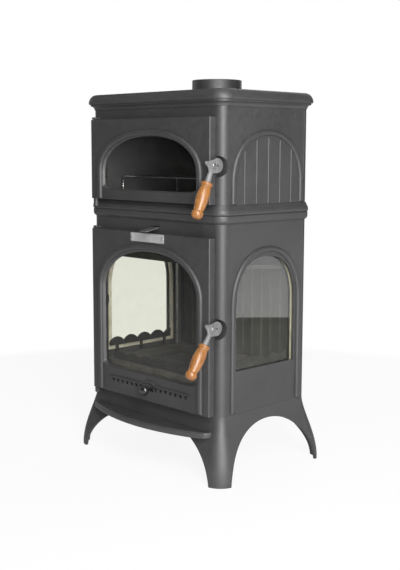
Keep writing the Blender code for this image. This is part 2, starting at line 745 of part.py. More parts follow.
def oven_rack(root):
    """A wire rack: a frame with turned-down legs, and wires laid across it."""
    x, front, back, level, foot = 0.186, -0.100, 0.098, 0.733, 0.6876
    drop = 0.012
    frame = wire("oven_rack", [(-x, front, level), (x, front, level), (x, back, level),
                               (-x, back, level)], 0.0026, root, cyclic=True)
    for i in range(-6, 7):
        bar = wire(f"rack_wire_{i + 6}", [(i * 0.0265, front - 0.001, level),
                                          (i * 0.0265, back + 0.001, level)], 0.0017, root,
                   cutter=True)
        join(frame, bar)
    for sx in (-1, 1):
        for tag, y in (("front", front), ("back", back)):
            leg = wire(f"rack_leg_{tag}_{sx + 1}",
                       [(sx * (x - drop), y, level), (sx * (x - 0.003), y, level - 0.004),
                        (sx * x, y, level - drop), (sx * x, y, foot)], 0.0022, root, cutter=True)
            join(frame, leg)


# ---------------------------------------------------------------- doors

def glazed_opening(name, glass, root):
    """The cutter of a door's arched opening, whose sides slope in from the face to the glass."""
    half, spring, apex, sill = glass
    rings = []
    for y, spread in ((-0.2, REVEAL), (DOOR_FRONT, REVEAL), (DOOR_FRONT + DOOR_PLATE, 0.0), (-0.12, 0.0)):
        outline = arch_opening(half + spread, spring, apex + spread, sill - spread * 0.6, GLASS_CORNER)
        rings.append([(x, y, z) for x, z in outline])
    return stacked(name, rings, root, cutter=True)


def door_leaf(name, heights, arch, glass, pivot_z, root):
    """A hollow-backed door casting with a glazed arch, a raised moulding and the latch boss."""
    edge, heel = 0.003, 0.0085
    plan = (arc((DOOR_LEFT + edge, DOOR_FRONT + edge), edge, 180, 270, 3)
            + arc((DOOR_RIGHT - edge, DOOR_FRONT + edge), edge, 270, 360, 3)
            + [(DOOR_RIGHT, DOOR_BACK)]
            + arc((DOOR_LEFT + heel, DOOR_BACK - heel), heel, 90, 180, 4))
    door = extruded(name, "plan", [plan], *heights, root)
    pocket = box(name + "_pocket", (DOOR_POCKET[0], DOOR_FRONT + DOOR_PLATE, heights[0] + 0.007),
                 (DOOR_POCKET[1], -0.12, heights[1] - 0.007), root, cutter=True)
    cut(door, pocket)
    cut(door, glazed_opening(name + "_opening", glass, root))
    for tag, z in (("lower", heights[0]), ("upper", heights[1])):
        hole = cylinder(f"{name}_{tag}_pin_hole", (HINGE_X, HINGE_Y, z - 0.011),
                        (HINGE_X, HINGE_Y, z + 0.011), HINGE_PIN_RADIUS + RUNNING_CLEARANCE, root,
                        cutter=True, sides=12)
        cut(door, hole)
    rib = extruded(name + "_rib", "front", [arch_band(*arch, heights[0] + 0.0020, RIB_WIDTH)],
                   DOOR_FRONT - RIB_HEIGHT, DOOR_FRONT + 0.0065, root, cutter=True)
    round_edges(rib, 0.0045, 2)
    join(door, rib)
    boss = cylinder(name + "_boss", (0.2138, PIVOT_Y, pivot_z), (0.2250, PIVOT_Y, pivot_z), 0.0056,
                    root, cutter=True, sides=20)
    join(door, boss)
    bore = cylinder(name + "_bore", (0.2150, PIVOT_Y, pivot_z), (0.24, PIVOT_Y, pivot_z), 0.0028,
                    root, cutter=True, sides=12)
    cut(door, bore)
    return door


def air_slot_centres():
    """The air slots' places across the door, left out where the knob is."""
    places = [(i + 0.5) * AIR_SLOT_PITCH for i in range(-8, 8)]
    return [x for x in places if abs(x - KNOB_X) > 0.022]


def air_inlet(door, root):
    """The hooded row of air slots and the knob slot low in the firebox door."""
    bm = bmesh.new()
    for x in air_slot_centres():
        add_box(bm, (x - AIR_SLOT_WIDTH / 2, -0.19, AIR_SLOT_Z[0]),
                (x + AIR_SLOT_WIDTH / 2, -0.15, AIR_SLOT_Z[1]))
    half_x, half_z = KNOB_SLOT_HALF
    add_box(bm, (KNOB_X - half_x, -0.19, KNOB_Z - half_z), (KNOB_X + half_x, -0.15, KNOB_Z + half_z))
    cut(door, mesh_object("air_slots", bm, root, cutter=True))
    points = []
    for i in range(21):
        x = -0.150 + 0.300 * i / 20
        hump = 0.0085 * math.exp(-((x - KNOB_X) / 0.021) ** 4)
        points.append((x, DOOR_FRONT - 0.0012, 0.2075 + hump))
    join(door, wire("air_hood", points, 0.0032, root, cutter=True))


def pane(name, glass, thickness, root):
    """A door glass, larger than its opening all round."""
    half, spring, apex, sill = glass
    outline = arch_opening(half + 0.008, spring, apex + 0.008, sill - 0.008)
    back = DOOR_FRONT + DOOR_PLATE + GAP
    extruded(name, "front", [outline], back, back + thickness, root)


def gasket(name, heights, root):
    """The rope that seals a door against its frame."""
    radius = 0.0048
    left, right = DOOR_POCKET[0] + radius + 0.0004, DOOR_POCKET[1] - radius - 0.0004
    low, high = heights[0] + 0.0074 + radius, heights[1] - 0.0074 - radius
    y = DOOR_FRONT + DOOR_PLATE + radius + 0.0004
    corner = 0.012
    plan = rounded_rect((right - left) / 2, (high - low) / 2, corner, 3,
                        ((left + right) / 2, (low + high) / 2))
    wire(name, [(u, y, v) for u, v in plan], radius, root, cyclic=True)


def glass_clips(tag, glass, height, root):
    half = glass[0] + 0.008
    face = DOOR_FRONT + DOOR_PLATE
    for side_name, side in (("left", -1), ("right", 1)):
        outline = [(side * (half - 0.014), face + 0.0047), (side * (half - 0.014), face + 0.0063),
                   (side * (half + 0.0072), face + 0.0063), (side * (half + 0.0072), face + 0.0003),
                   (side * (half + 0.0010), face + 0.0003), (side * (half + 0.0010), face + 0.0047)]
        extruded(f"{tag}_glass_clip_{side_name}", "plan", [outline], height - 0.011,
                 height + 0.011, root)


def doors(root):
    door_leaf("oven_door", OVEN_DOOR_Z, OVEN_ARCH, OVEN_GLASS, OVEN_PIVOT_Z, root)
    fire = door_leaf("firebox_door", FIRE_DOOR_Z, FIRE_ARCH, FIRE_GLASS, FIRE_PIVOT_Z, root)
    air_inlet(fire, root)
    pane("oven_door_glass", OVEN_GLASS, 0.004, root)
    pane("firebox_door_glass", FIRE_GLASS, 0.004, root)
    gasket("oven_door_gasket", OVEN_DOOR_Z, root)
    gasket("firebox_door_gasket", FIRE_DOOR_Z, root)
    glass_clips("oven", OVEN_GLASS, 0.745, root)
    glass_clips("firebox", FIRE_GLASS, 0.410, root)
    pins = (("oven_hinge_pin_top", 0.8700, 0.8874), ("oven_hinge_pin_bottom", 0.6674, 0.6855),
            ("firebox_hinge_pin_top", 0.5865, 0.6040), ("firebox_hinge_pin_bottom", 0.1574, 0.1755))
    for name, low, high in pins:
        cylinder(name, (HINGE_X, HINGE_Y, low), (HINGE_X, HINGE_Y, high), HINGE_PIN_RADIUS, root,
                 sides=12)


def nameplate(root):
    """A blank riveted plate at the head of the firebox door."""
    face = DOOR_FRONT - GAP
    x, low, high = 0.0625, 0.5735, 0.5955
    middle = (low + high) / 2
    holes = [arc((sx * (x - 0.006), middle), 0.0019, 360, 45, 7) for sx in (-1, 1)]
    outline = rounded_rect(x, (high - low) / 2, 0.002, 2, (0.0, middle))
    extruded("nameplate", "front", [outline] + holes, face - 0.0010, face, root)
    for tag, sx in (("left", -1), ("right", 1)):
        profile = [(0.0, 0.0016), (0.0018, 0.0013), (0.0031, 0.0), (0.0015, 0.0), (0.0015, -0.0010),
                   (0.0, -0.0010)]
        rivet = turned("nameplate_rivet_" + tag, profile, root, steps=12)
        rivet.rotation_euler = (math.radians(90), 0.0, 0.0)
        rivet.location = (sx * (x - 0.006), face - 0.0013, middle)


# ---------------------------------------------------------------- moving fittings

def polar(radius, angle):
    return radius * math.cos(math.radians(angle)), radius * math.sin(math.radians(angle))


def latch_plate_outline(tilt):
    """The latch plate about its pivot: a round hook behind it, a nose in front, a neck below."""
    hook = polar(HOOK_REACH, tilt - 5)
    nose = arc((-0.0208, -0.0037), 0.0042, 80, 260, 4)
    neck = [(-0.0110, -0.0115), (-0.0062, -0.0185), (0.0062, -0.0185)]
    return nose + neck + arc(hook, HOOK_RADIUS, -75, 150, 14) + [(-0.0085, 0.0085)]


def latch_groove_outline(tilt):
    """The groove in the hook's back: it follows the strike pin, then lets it out behind."""
    inner, outer = GROOVE_RADIUS - GROOVE_HALF, GROOVE_RADIUS + GROOVE_HALF
    start, end = tilt - 10, tilt + LATCH_TURN
    side = math.degrees(math.asin(GROOVE_HALF / outer))
    way_out = [(polar(outer * 1.5, end)[0] + shift[0], polar(outer * 1.5, end)[1] + shift[1])
               for shift in (polar(GROOVE_HALF, end - 90), polar(GROOVE_HALF, end + 90))]
    return arc((0, 0), outer, start, end - side, 8) + way_out + arc((0, 0), inner, end + 12, start, 8)


def latch(tag, pivot_z, tilt, root):
    """A latch lever that turns on the door's edge, with its wooden grip and pivot pin."""
    pivot = bpy.data.objects.new(tag + "_latch_pivot", None)
    pivot.location = (PIVOT_X, PIVOT_Y, pivot_z)
    pivot.rotation_euler = (math.radians(-tilt), 0.0, 0.0)
    pivot.parent = root
    MODEL.objects.link(pivot)
    half = LATCH_THICKNESS / 2
    lever = extruded(tag + "_latch_lever", "side", [latch_plate_outline(tilt)], -half, half, pivot)
    round_edges(lever, 0.0006, 1)
    join(lever, cylinder(tag + "_latch_shank", (0, 0, -0.0160), (0, 0, SHANK_END), 0.0055, pivot,
                         cutter=True, sides=16, end_radius=0.0076))
    join(lever, cylinder(tag + "_latch_tenon", (0, 0, SHANK_END + 0.004), (0, 0, -0.0490), 0.0045,
                         pivot, cutter=True, sides=12))
    join(lever, cylinder(tag + "_latch_hub", (-half + 0.001, 0, 0), (0.0048, 0, 0), 0.0085, pivot,
                         cutter=True, sides=20))
    cut(lever, cylinder(tag + "_latch_bore", (-0.02, 0, 0), (0.02, 0, 0), 0.0033, pivot, cutter=True,
                        sides=12))
    cut(lever, extruded(tag + "_latch_groove", "side", [latch_groove_outline(tilt)], -half - 0.001,
                        half - 0.0015, pivot, cutter=True))
    eye = polar(HOOK_REACH, tilt - 5)
    cut(lever, cylinder(tag + "_latch_eye", (-0.02, *eye), (0.02, *eye), 0.0026, pivot, cutter=True,
                        sides=12))
    grip_profile = [(0.0, -0.0440), (0.0105, -0.0440), (0.0138, -0.0462), (0.0140, -0.0495),
                    (0.0122, -0.0534), (0.0122, -0.0556), (0.0138, -0.0632), (0.0152, -0.0740),
                    (0.0155, -0.0827), (0.0148, -0.0936), (0.0132, -0.1044), (0.0117, -0.1131),
                    (0.0120, -0.1153), (0.0139, -0.1180), (0.0143, -0.1218), (0.0134, -0.1272),
                    (0.0095, -0.1321), (0.0, -0.1343)]
    grip = turned(tag + "_latch_grip", grip_profile, pivot, steps=16)
    cut(grip, cylinder(tag + "_grip_socket", (0, 0, -0.0300), (0, 0, -0.0495), 0.0049, pivot,
                       cutter=True, sides=12))
    pin = turned(tag + "_latch_pivot_pin",
                 [(0.0, 0.0071), (0.0036, 0.0066), (0.0050, 0.0051), (0.0030, 0.0051),
                  (0.0030, -0.0028), (0.0025, -0.0028), (0.0025, -0.0120), (0.0, -0.0120)], root,
                 steps=12)
    pin.rotation_euler = (0.0, math.radians(90), 0.0)
    pin.location = (PIVOT_X, PIVOT_Y, pivot_z)
    cylinder(tag + "_strike_pin", (POCKET_FLOOR_X + GAP, PIVOT_Y + GROOVE_RADIUS, pivot_z),
             (PIVOT_X, PIVOT_Y + GROOVE_RADIUS, pivot_z), STRIKE_RADIUS, root, sides=12)


def air_slide(root):
    """The slide behind the firebox door that opens and shuts its air slots, and its knob."""
    face = DOOR_FRONT + DOOR_PLATE + GAP
    half, low, high = AIR_SLOT_WIDTH / 2, AIR_SLOT_Z[0] + GAP, AIR_SLOT_Z[1] - GAP
    holes = [[(x - half, low), (x - half, high), (x + half, high), (x + half, low)]
             for x in air_slot_centres()]
    outline = rounded_rect(0.156, 0.0115, 0.002, 2, (0.0, 0.1975))
    stem_hole = arc((KNOB_X, KNOB_Z), 0.0028, 360, 30, 11)
    extruded("air_slide", "front", [outline, stem_hole] + holes, face, face + 0.0020, root)
    knob_profile = [(0.0, 0.0258), (0.0064, 0.0246), (0.0108, 0.0213), (0.0128, 0.0160),
                    (0.0120, 0.0112), (0.0088, 0.0075), (0.0050, 0.0058), (0.0038, 0.0050),
                    (0.0036, -0.0079), (0.0025, -0.0079), (0.0025, -0.0104), (0.0, -0.0104)]
    knob = turned("air_knob", knob_profile, root, steps=16)
    knob.rotation_euler = (math.radians(90), 0.0, 0.0)
    knob.location = (KNOB_X, DOOR_FRONT, KNOB_Z)


def damper_slide(root):
    """The flat bar above the firebox door that works the flue damper."""
    outline = [(-0.2005, 0.6012), (-0.2005, 0.6034), (-0.1560, 0.6116), (-0.0600, 0.6116),
               (-0.0600, 0.6094), (-0.1560, 0.6094)]
    bar = extruded("damper_slide", "side", [outline], -0.0015, 0.0250, root)
    round_edges(bar, 0.0006, 1)


def main():
    root = start_scene()
    base_casting(root)
    bottom_plate(root)
    tie_rods(root)
    front_frames(root)
    rear_panels(root)
    side_panels(root)
    band_plates(root)
    top_plate(root)
    flue_collar(root)
    hearth_and_grate(root)
    ash_pan(root)
    rear_liner(root)
    baffle_plate(root)
    log_guards(root)
    side_windows(root)
    oven_box(root)
    oven_rack(root)
    doors(root)
    nameplate(root)
    latch("oven", OVEN_PIVOT_Z, OVEN_LATCH_TILT, root)
    latch("firebox", FIRE_PIVOT_Z, FIRE_LATCH_TILT, root)
    air_slide(root)
    damper_slide(root)


main()
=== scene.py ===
"""Looks of the wood burning stove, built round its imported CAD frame."""
import math

import bmesh
import bpy
from mathutils import Matrix, Vector


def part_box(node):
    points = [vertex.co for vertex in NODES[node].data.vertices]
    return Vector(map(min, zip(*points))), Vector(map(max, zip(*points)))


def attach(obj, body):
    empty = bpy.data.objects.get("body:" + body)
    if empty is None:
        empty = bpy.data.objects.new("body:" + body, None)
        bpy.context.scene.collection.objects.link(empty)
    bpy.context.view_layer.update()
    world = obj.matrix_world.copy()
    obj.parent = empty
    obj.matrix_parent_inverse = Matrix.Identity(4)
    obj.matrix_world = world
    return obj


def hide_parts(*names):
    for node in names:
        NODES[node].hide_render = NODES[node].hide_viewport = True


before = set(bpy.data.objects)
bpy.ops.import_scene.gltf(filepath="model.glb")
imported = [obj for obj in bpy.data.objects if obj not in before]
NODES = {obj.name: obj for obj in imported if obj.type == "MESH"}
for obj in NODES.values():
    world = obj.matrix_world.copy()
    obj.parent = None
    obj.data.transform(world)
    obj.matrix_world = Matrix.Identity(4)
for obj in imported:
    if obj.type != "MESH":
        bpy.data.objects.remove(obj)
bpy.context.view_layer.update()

# Sizes shared with the CAD, about the middle of the body's plan
BODY_HALF_X = 0.2416
BODY_HALF_Y = 0.158
POST_RADIUS = 0.022
WALL = 0.006
GAP = 0.0003
Z_BASE = 0.165
Z_BAND = 0.6287
Z_NOTCH = 0.6492
Z_UPPER = 0.6728
Z_COVE = 0.905
Z_TOP = 0.945
Z_COLLAR = 0.983
FOOT_FLARE = 0.0372
FOOT_RADIUS = 0.045
BASE_WALL = 0.007
LIP_TOP = 0.1265
LIP_BOTTOM = 0.110
LIP_HALF = 0.2225
LIP_REACH = 0.2285
DOOR_LEFT = -0.2235
DOOR_RIGHT = 0.2205
DOOR_POCKET = (-0.2040, 0.2135)
DOOR_FRONT = -0.177
DOOR_BACK = -0.1586
DOOR_PLATE = 0.008
DOOR_RIM = 0.007
FIRE_DOOR_Z = (0.1650, 0.5965)
OVEN_DOOR_Z = (0.6755, 0.8800)
HINGE_X = -0.2145
HINGE_Y = -0.1685
PIN_HOLE = 0.0028
PIN_DEPTH = 0.0075
LUG_HALF = 0.0065
LUG_ROOT_Y = -0.1545
LUG_GAP = 0.0006
LUG_HEIGHT = 0.0060
FIRE_ARCH = (0.198, 0.4428, 0.5688)
OVEN_ARCH = (0.195, 0.748, 0.8532)
WINDOW_ARCH = (0.1285, 0.4275, 0.5695)
BLIND_ARCH = (0.130, 0.726, 0.852)
FIRE_GLASS = (0.1770, 0.4428, 0.5480, 0.2340)
OVEN_GLASS = (0.1745, 0.748, 0.8365, 0.7025)
WINDOW_GLASS = (0.1070, 0.4275, 0.5445, 0.2700)
REVEAL = 0.0055
GLASS_CORNER = 0.041
CORNER_FLATNESS = 0.34
ARCH_POWER = 2.12
WINDOW_POWER = 2.4
RIB_WIDTH = 0.0165
RIB_HEIGHT = 0.0065
RIB_FOOT = 0.0015
SIDE_ARCH_Y = 0.0035
PIVOT_X = 0.228
PIVOT_Y = -0.174
FIRE_PIVOT_Z = 0.3826
OVEN_PIVOT_Z = 0.7685
FIRE_LATCH_TILT = 34.2
OVEN_LATCH_TILT = 24.2
LATCH_THICKNESS = 0.005
LATCH_TURN = 60.0
HOOK_REACH = 0.0143
HOOK_RADIUS = 0.0175
GROOVE_RADIUS = 0.0196
GROOVE_HALF = 0.0033
POCKET_CENTRE = (0.0103, -0.0038)
POCKET_RADIUS = 0.0262
POCKET_FLOOR_X = 0.2165
SHANK_END = -0.0437
KNOB_X = 0.003
KNOB_Z = 0.196
AIR_SLOT_PITCH = 0.0185
AIR_SLOT_WIDTH = 0.0085
AIR_SLOT_Z = (0.1950, 0.2030)
KNOB_SLOT_HALF = (0.0165, 0.0045)
GUARD_FOOT_Z = 0.2454
FLUE_Y = 0.068
FLUE_OUTER = 0.065
FLUE_INNER = 0.059
ROD_X = 0.2230
ROD_Y = 0.1305
ROD_HOLE = 0.0047

# Edge rounding, and the depths that a cutter needs to go right through
CASTING_EDGE = 0.0009
GUARD_EDGE = 0.0008
THROUGH_FRONT = (-0.17, -0.12)
BEFORE_DOOR = -0.20
BEHIND_DOOR = -0.12
SLOT_CUT = (-0.19, -0.15)

SIDES = (("left", -1), ("right", 1))
ARC_STEPS = 9
HUMP_STEPS = 16
ARCH_STEPS = 22

COLLAR_LOW, COLLAR_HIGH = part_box("flue_collar")
SHIFT = Vector((0.0, (COLLAR_LOW.y + COLLAR_HIGH.y) / 2 - FLUE_Y, 0.0))
SCENE = bpy.context.scene


# ---- modelling helpers

def new_object(data, name="made"):
    obj = bpy.data.objects.new(name, data)
    SCENE.collection.objects.link(obj)
    return obj


def from_bmesh(bm):
    bm.normal_update()
    bmesh.ops.recalc_face_normals(bm, faces=bm.faces)
    mesh = bpy.data.meshes.new("made")
    bm.to_mesh(mesh)
    bm.free()
    return new_object(mesh)


def add_box(bm, low, high):
    made = bmesh.ops.create_cube(bm, size=1.0)
    low, high = Vector(low), Vector(high)
    for vert in made["verts"]:
        vert.co = (low + high) / 2 + Vector(c * s for c, s in zip(vert.co, high - low))


def box(low, high, bevel=0.0):
    bm = bmesh.new()
    add_box(bm, low, high)
    obj = from_bmesh(bm)
    if bevel:
        round_edges(obj, bevel, 3)
    return obj


def round_edges(obj, width, segments, angle=40):
    mod = obj.modifiers.new("rounded", "BEVEL")
    mod.width = width
    mod.segments = segments
    mod.limit_method = "ANGLE"
    mod.angle_limit = math.radians(angle)


def cylinder(start, end, radius, sides=40):
    start, end = Vector(start), Vector(end)
    axis = end - start
    turn = axis.to_track_quat("Z", "Y").to_matrix().to_4x4()
    bm = bmesh.new()
    bmesh.ops.create_cone(bm, cap_ends=True, segments=sides, radius1=radius, radius2=radius,
                          depth=axis.length)
    bmesh.ops.transform(bm, matrix=Matrix.Translation((start + end) / 2) @ turn, verts=bm.verts)
    return from_bmesh(bm)


PLANES = {
    "plan": ((1, 0, 0), (0, 1, 0), (0, 0, 1)),
    "front": ((1, 0, 0), (0, 0, 1), (0, 1, 0)),
    "side": ((0, 1, 0), (0, 0, 1), (1, 0, 0)),
}


def evaluated_mesh(obj):
    bpy.context.view_layer.update()
    seen = obj.evaluated_get(bpy.context.evaluated_depsgraph_get())
    return bpy.data.meshes.new_from_object(seen)


def drawn_mesh(curve):
    """The closed mesh that a curve makes."""
    drawn = new_object(curve)
    mesh = evaluated_mesh(drawn)
    bpy.data.objects.remove(drawn, do_unlink=True)
    bm = bmesh.new()
    bm.from_mesh(mesh)
    bpy.data.meshes.remove(mesh)
    bmesh.ops.remove_doubles(bm, verts=bm.verts, dist=1e-6)
    return bm


def extruded(plane, outlines, low, high):
    curve = bpy.data.curves.new("drawn", "CURVE")
    curve.dimensions = "2D"
    curve.fill_mode = "BOTH"
    curve.extrude = (high - low) / 2
    for outline in outlines:
        spline = curve.splines.new("POLY")
        spline.points.add(len(outline) - 1)
        for point, (u, v) in zip(spline.points, outline):
            point.co = (u, v, 0.0, 1.0)
        spline.use_cyclic_u = True
    bm = drawn_mesh(curve)
    if len(outlines) == 1:
        bmesh.ops.dissolve_limit(bm, angle_limit=math.radians(0.5), verts=bm.verts, edges=bm.edges)
    u_axis, v_axis, w_axis = (Vector(a) for a in PLANES[plane])
    middle = (low + high) / 2
    for vert in bm.verts:
        u, v, w = vert.co
        vert.co = u_axis * u + v_axis * v + w_axis * (w + middle)
    return from_bmesh(bm)


def wire(points, radius, cyclic=False, resolution=4):
    curve = bpy.data.curves.new("drawn", "CURVE")
    curve.dimensions = "3D"
    curve.bevel_depth = radius
    curve.bevel_resolution = resolution
    curve.use_fill_caps = not cyclic
    spline = curve.splines.new("POLY")
    spline.points.add(len(points) - 1)
    for point, place_at in zip(spline.points, points):
        point.co = (*place_at, 1.0)
    spline.use_cyclic_u = cyclic
    return from_bmesh(drawn_mesh(curve))


def turned(profile, steps=64):
    """A piece turned about Z from (radius, height) points, top to bottom."""
    bm = bmesh.new()
    verts = [bm.verts.new((radius, 0.0, height)) for radius, height in profile]
    for a, b in zip(verts, verts[1:]):
        bm.edges.new((a, b))
    bmesh.ops.spin(bm, geom=bm.verts[:] + bm.edges[:], cent=(0, 0, 0), axis=(0, 0, 1),
                   angle=2 * math.pi, steps=steps, use_merge=True)
    bmesh.ops.remove_doubles(bm, verts=bm.verts, dist=1e-6)
    return from_bmesh(bm)


def applied(obj):
    """The object with its modifiers worked into its mesh."""
    mesh = evaluated_mesh(obj)
    obj.modifiers.clear()
    obj.data = mesh
    return obj


def combine(obj, other, operation):
    applied(other)
    mod = obj.modifiers.new(operation.lower(), "BOOLEAN")
    mod.operation = operation
    mod.object = other
    applied(obj)
    bpy.data.objects.remove(other, do_unlink=True)
    return obj


def cut(obj, *cutters):
    for cutter in cutters:
        combine(obj, cutter, "DIFFERENCE")
    return obj


def join(obj, *additions):
    for addition in additions:
        combine(obj, addition, "UNION")
    return obj


def moved(obj, matrix):
    obj.data.transform(matrix)
    return obj


def arc(centre, radius, start, end, steps=ARC_STEPS):
    angles = [math.radians(start + (end - start) * i / steps) for i in range(steps + 1)]
    return [(centre[0] + radius * math.cos(a), centre[1] + radius * math.sin(a)) for a in angles]


def rounded_rect(half_u, half_v, radius, steps=ARC_STEPS, centre=(0.0, 0.0)):
    points = []
    for start, su, sv in ((0, 1, 1), (90, -1, 1), (180, -1, -1), (270, 1, -1)):
        corner = (centre[0] + su * (half_u - radius), centre[1] + sv * (half_v - radius))
        points += arc(corner, radius, start, start + 90, steps)
    return points


def arch_curve(half, spring, apex, centre=0.0, power=ARCH_POWER):
    """A flattened arch from right to left, on a superellipse above its spring line."""
    points = []
    for i in range(2 * ARCH_STEPS + 1):
        angle = math.pi * i / (2 * ARCH_STEPS)
        cosine, sine = math.cos(angle), math.sin(angle)
        u = half * math.copysign(abs(cosine) ** (2 / power), cosine)
        v = (apex - spring) * abs(sine) ** (2 / power)
        points.append((centre + u, spring + v))
    return points


def arch_band(half, spring, apex, foot, width, centre=0.0):
    outer = arch_curve(half, spring, apex, centre)
    inner = arch_curve(half - width, spring, apex - width * 0.85, centre)
    return ([(centre + half, foot)] + outer + [(centre - half, foot)]
            + [(centre - half + width, foot)] + inner[::-1] + [(centre + half - width, foot)])


def arch_opening(half, spring, apex, sill, corner=0.0, power=ARCH_POWER):
    """A closed arch-headed opening; its lower corners can be flattened quarter circles."""
    head = arch_curve(half, spring, apex, 0.0, power)
    if not corner:
        return head + [(-half, sill), (half, sill)]
    quarters = (arc((corner - half, corner), corner, 180, 270)
                + arc((half - corner, corner), corner, 270, 360))
    return head + [(u, sill + CORNER_FLATNESS * v) for u, v in quarters]


def across(side, near, far):
    """Two places along X on one side of the stove, in rising order."""
    return sorted((side * near, side * far))


def rotation(angle, axis):
    return Matrix.Rotation(math.radians(angle), 4, axis)


def stacked(rings):
    """A solid skinned over rings of equally many points."""
    bm = bmesh.new()
    rows = [[bm.verts.new(point) for point in ring] for ring in rings]
    count = len(rows[0])
    for lower, upper in zip(rows, rows[1:]):
        for i in range(count):
            j = (i + 1) % count
            bm.faces.new((lower[i], lower[j], upper[j], upper[i]))
    bm.faces.new(rows[0])
    bm.faces.new(rows[-1])
    return from_bmesh(bm)


def body_ring(offset, height, radius=None, steps=ARC_STEPS):
    corner = POST_RADIUS + offset if radius is None else radius
    plan = rounded_rect(BODY_HALF_X + offset, BODY_HALF_Y + offset, corner, steps)
    return [(x, y, height) for x, y in plan]


def smooth_run(points, between=4):
    """More points along a run, on a curve through the given ones."""
    out = []
    for i in range(len(points) - 1):
        p0, p1 = points[max(i - 1, 0)], points[i]
        p2, p3 = points[i + 1], points[min(i + 2, len(points) - 1)]
        for j in range(between):
            t = j / between
            out.append(tuple(
                0.5 * (2 * b + (c - a) * t + (2 * a - 5 * b + 4 * c - d) * t * t
                       + (3 * b - a - 3 * c + d) * t ** 3)
                for a, b, c, d in zip(p0, p1, p2, p3)))
    return out + [points[-1]]


def piece(obj, body, finish, nodes, bevel=0.0, segments=2, sharp=32):
    """Works a finished shape into a piece: name, soft edges, shading, material and place."""
    names = [nodes] if isinstance(nodes, str) else list(nodes)
    obj.name = "look_" + names[0]
    obj.data.shade_smooth()
    if bevel:
        bm = bmesh.new()
        bm.from_mesh(obj.data)
        bmesh.ops.remove_doubles(bm, verts=bm.verts, dist=2e-6)
        bmesh.ops.dissolve_degenerate(bm, edges=bm.edges, dist=1e-6)
        bm.to_mesh(obj.data)
        bm.free()
        round_edges(obj, bevel, segments, angle=sharp)
        obj.modifiers["rounded"].miter_outer = "MITER_SHARP"
    applied(obj)
    obj.data.shade_smooth()
    margin = 16 if bevel else 6
    obj.data.set_sharp_from_angle(angle=math.radians(sharp + margin))
    if bevel:
        flat = obj.modifiers.new("flat_faces_stay_flat", "WEIGHTED_NORMAL")
        flat.keep_sharp = True
        flat.weight = 80
        applied(obj)
    obj.data.materials.clear()
    obj.data.materials.append(finish)
    moved(obj, Matrix.Translation(SHIFT))
    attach(obj, body)
    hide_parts(*names)
    return obj


# ---- materials

def put(node, **values):
    """Sets a node's inputs; an underscore stands for the space in an input's name."""
    for key, value in values.items():
        node.inputs[key.replace("_", " ")].default_value = value


def mixed(tree, factor, first, second):
    """A mix of two shaders."""
    mix = tree.nodes.new("ShaderNodeMixShader")
    for source, target in zip((factor, first, second), mix.inputs):
        tree.links.new(source, target)
    return mix.outputs[0]


def grey(level):
    return (level, level, level)


class Finish:
    """A material's node tree, with short ways to add the nodes it needs."""

    def __init__(self, name):
        self.material = bpy.data.materials.new(name)
        self.material.use_nodes = True
        self.tree = self.material.node_tree
        self.shader = self.tree.nodes["Principled BSDF"]
        self.coords = self.tree.nodes.new("ShaderNodeTexCoord").outputs["Object"]

    def node(self, kind, **values):
        made = self.tree.nodes.new("ShaderNode" + kind)
        for key, value in values.items():
            setattr(made, key, value)
        return made

    def link(self, source, target):
        self.tree.links.new(source, target)

    def feed(self, socket, value):
        """Gives a socket a number, a colour or another node's output."""
        if isinstance(value, (int, float)):
            socket.default_value = value
        elif isinstance(value, tuple):
            socket.default_value = (*value, 1)
        else:
            self.link(value, socket)

    def stretched(self, scale, turn=(0, 0, 0)):
        mapping = self.node("Mapping")
        self.link(self.coords, mapping.inputs["Vector"])
        put(mapping, Scale=scale, Rotation=turn)
        return mapping.outputs["Vector"]

    def noise(self, scale, detail=3.0, rough=0.5, vector=None, distortion=0.0):
        made = self.node("TexNoise")
        self.link(vector or self.coords, made.inputs["Vector"])
        put(made, Scale=scale, Detail=detail, Roughness=rough, Distortion=distortion)
        return made.outputs["Fac"]

    def cells(self, scale):
        made = self.node("TexVoronoi")
        self.link(self.coords, made.inputs["Vector"])
        put(made, Scale=scale)
        return made.outputs["Distance"]

    def ramp(self, source, *stops):
        made = self.node("ValToRGB")
        self.link(source, made.inputs["Fac"])
        band = made.color_ramp
        for end, (position, colour) in zip(band.elements, (stops[0], stops[-1])):
            end.position, end.color = position, (*colour, 1)
        for position, colour in stops[1:-1]:
            band.elements.new(position).color = (*colour, 1)
        return made.outputs["Color"]

    def span(self, source, low, high, start=0.3, end=0.7):
        made = self.node("MapRange")
        self.link(source, made.inputs["Value"])
        put(made, From_Min=start, From_Max=end, To_Min=low, To_Max=high)
        return made.outputs["Result"]

    def maths(self, operation, a, b):
        made = self.node("Math", operation=operation)
        for socket, value in zip(made.inputs, (a, b)):
            self.feed(socket, value)
        return made.outputs["Value"]

    def blend(self, factor, a, b, kind="MIX"):
        made = self.node("Mix", data_type="RGBA", blend_type=kind)
        sockets = [s for s in made.inputs if s.enabled]
        for socket, value in zip(sockets, (factor, a, b)):
            self.feed(socket, value)
        return [s for s in made.outputs if s.enabled][0]

    def times(self, a, b):
        return self.blend(1.0, a, b, "MULTIPLY")

    def bump(self, height, strength, distance, under=None):
        made = self.node("Bump")
        put(made, Strength=strength, Distance=distance)
        self.link(height, made.inputs["Height"])
        if under is not None:
            self.link(under, made.inputs["Normal"])
        return made.outputs["Normal"]

    def surface(self, shader):
        self.link(shader, self.tree.nodes["Material Output"].inputs["Surface"])
        return self.material

    def set(self, colour=None, roughness=None, normal=None, **plain):
        for socket, value in (("Base Color", colour), ("Roughness", roughness), ("Normal", normal)):
            if value is not None:
                self.feed(self.shader.inputs[socket], value)
        put(self.shader, **plain)
        return self.material


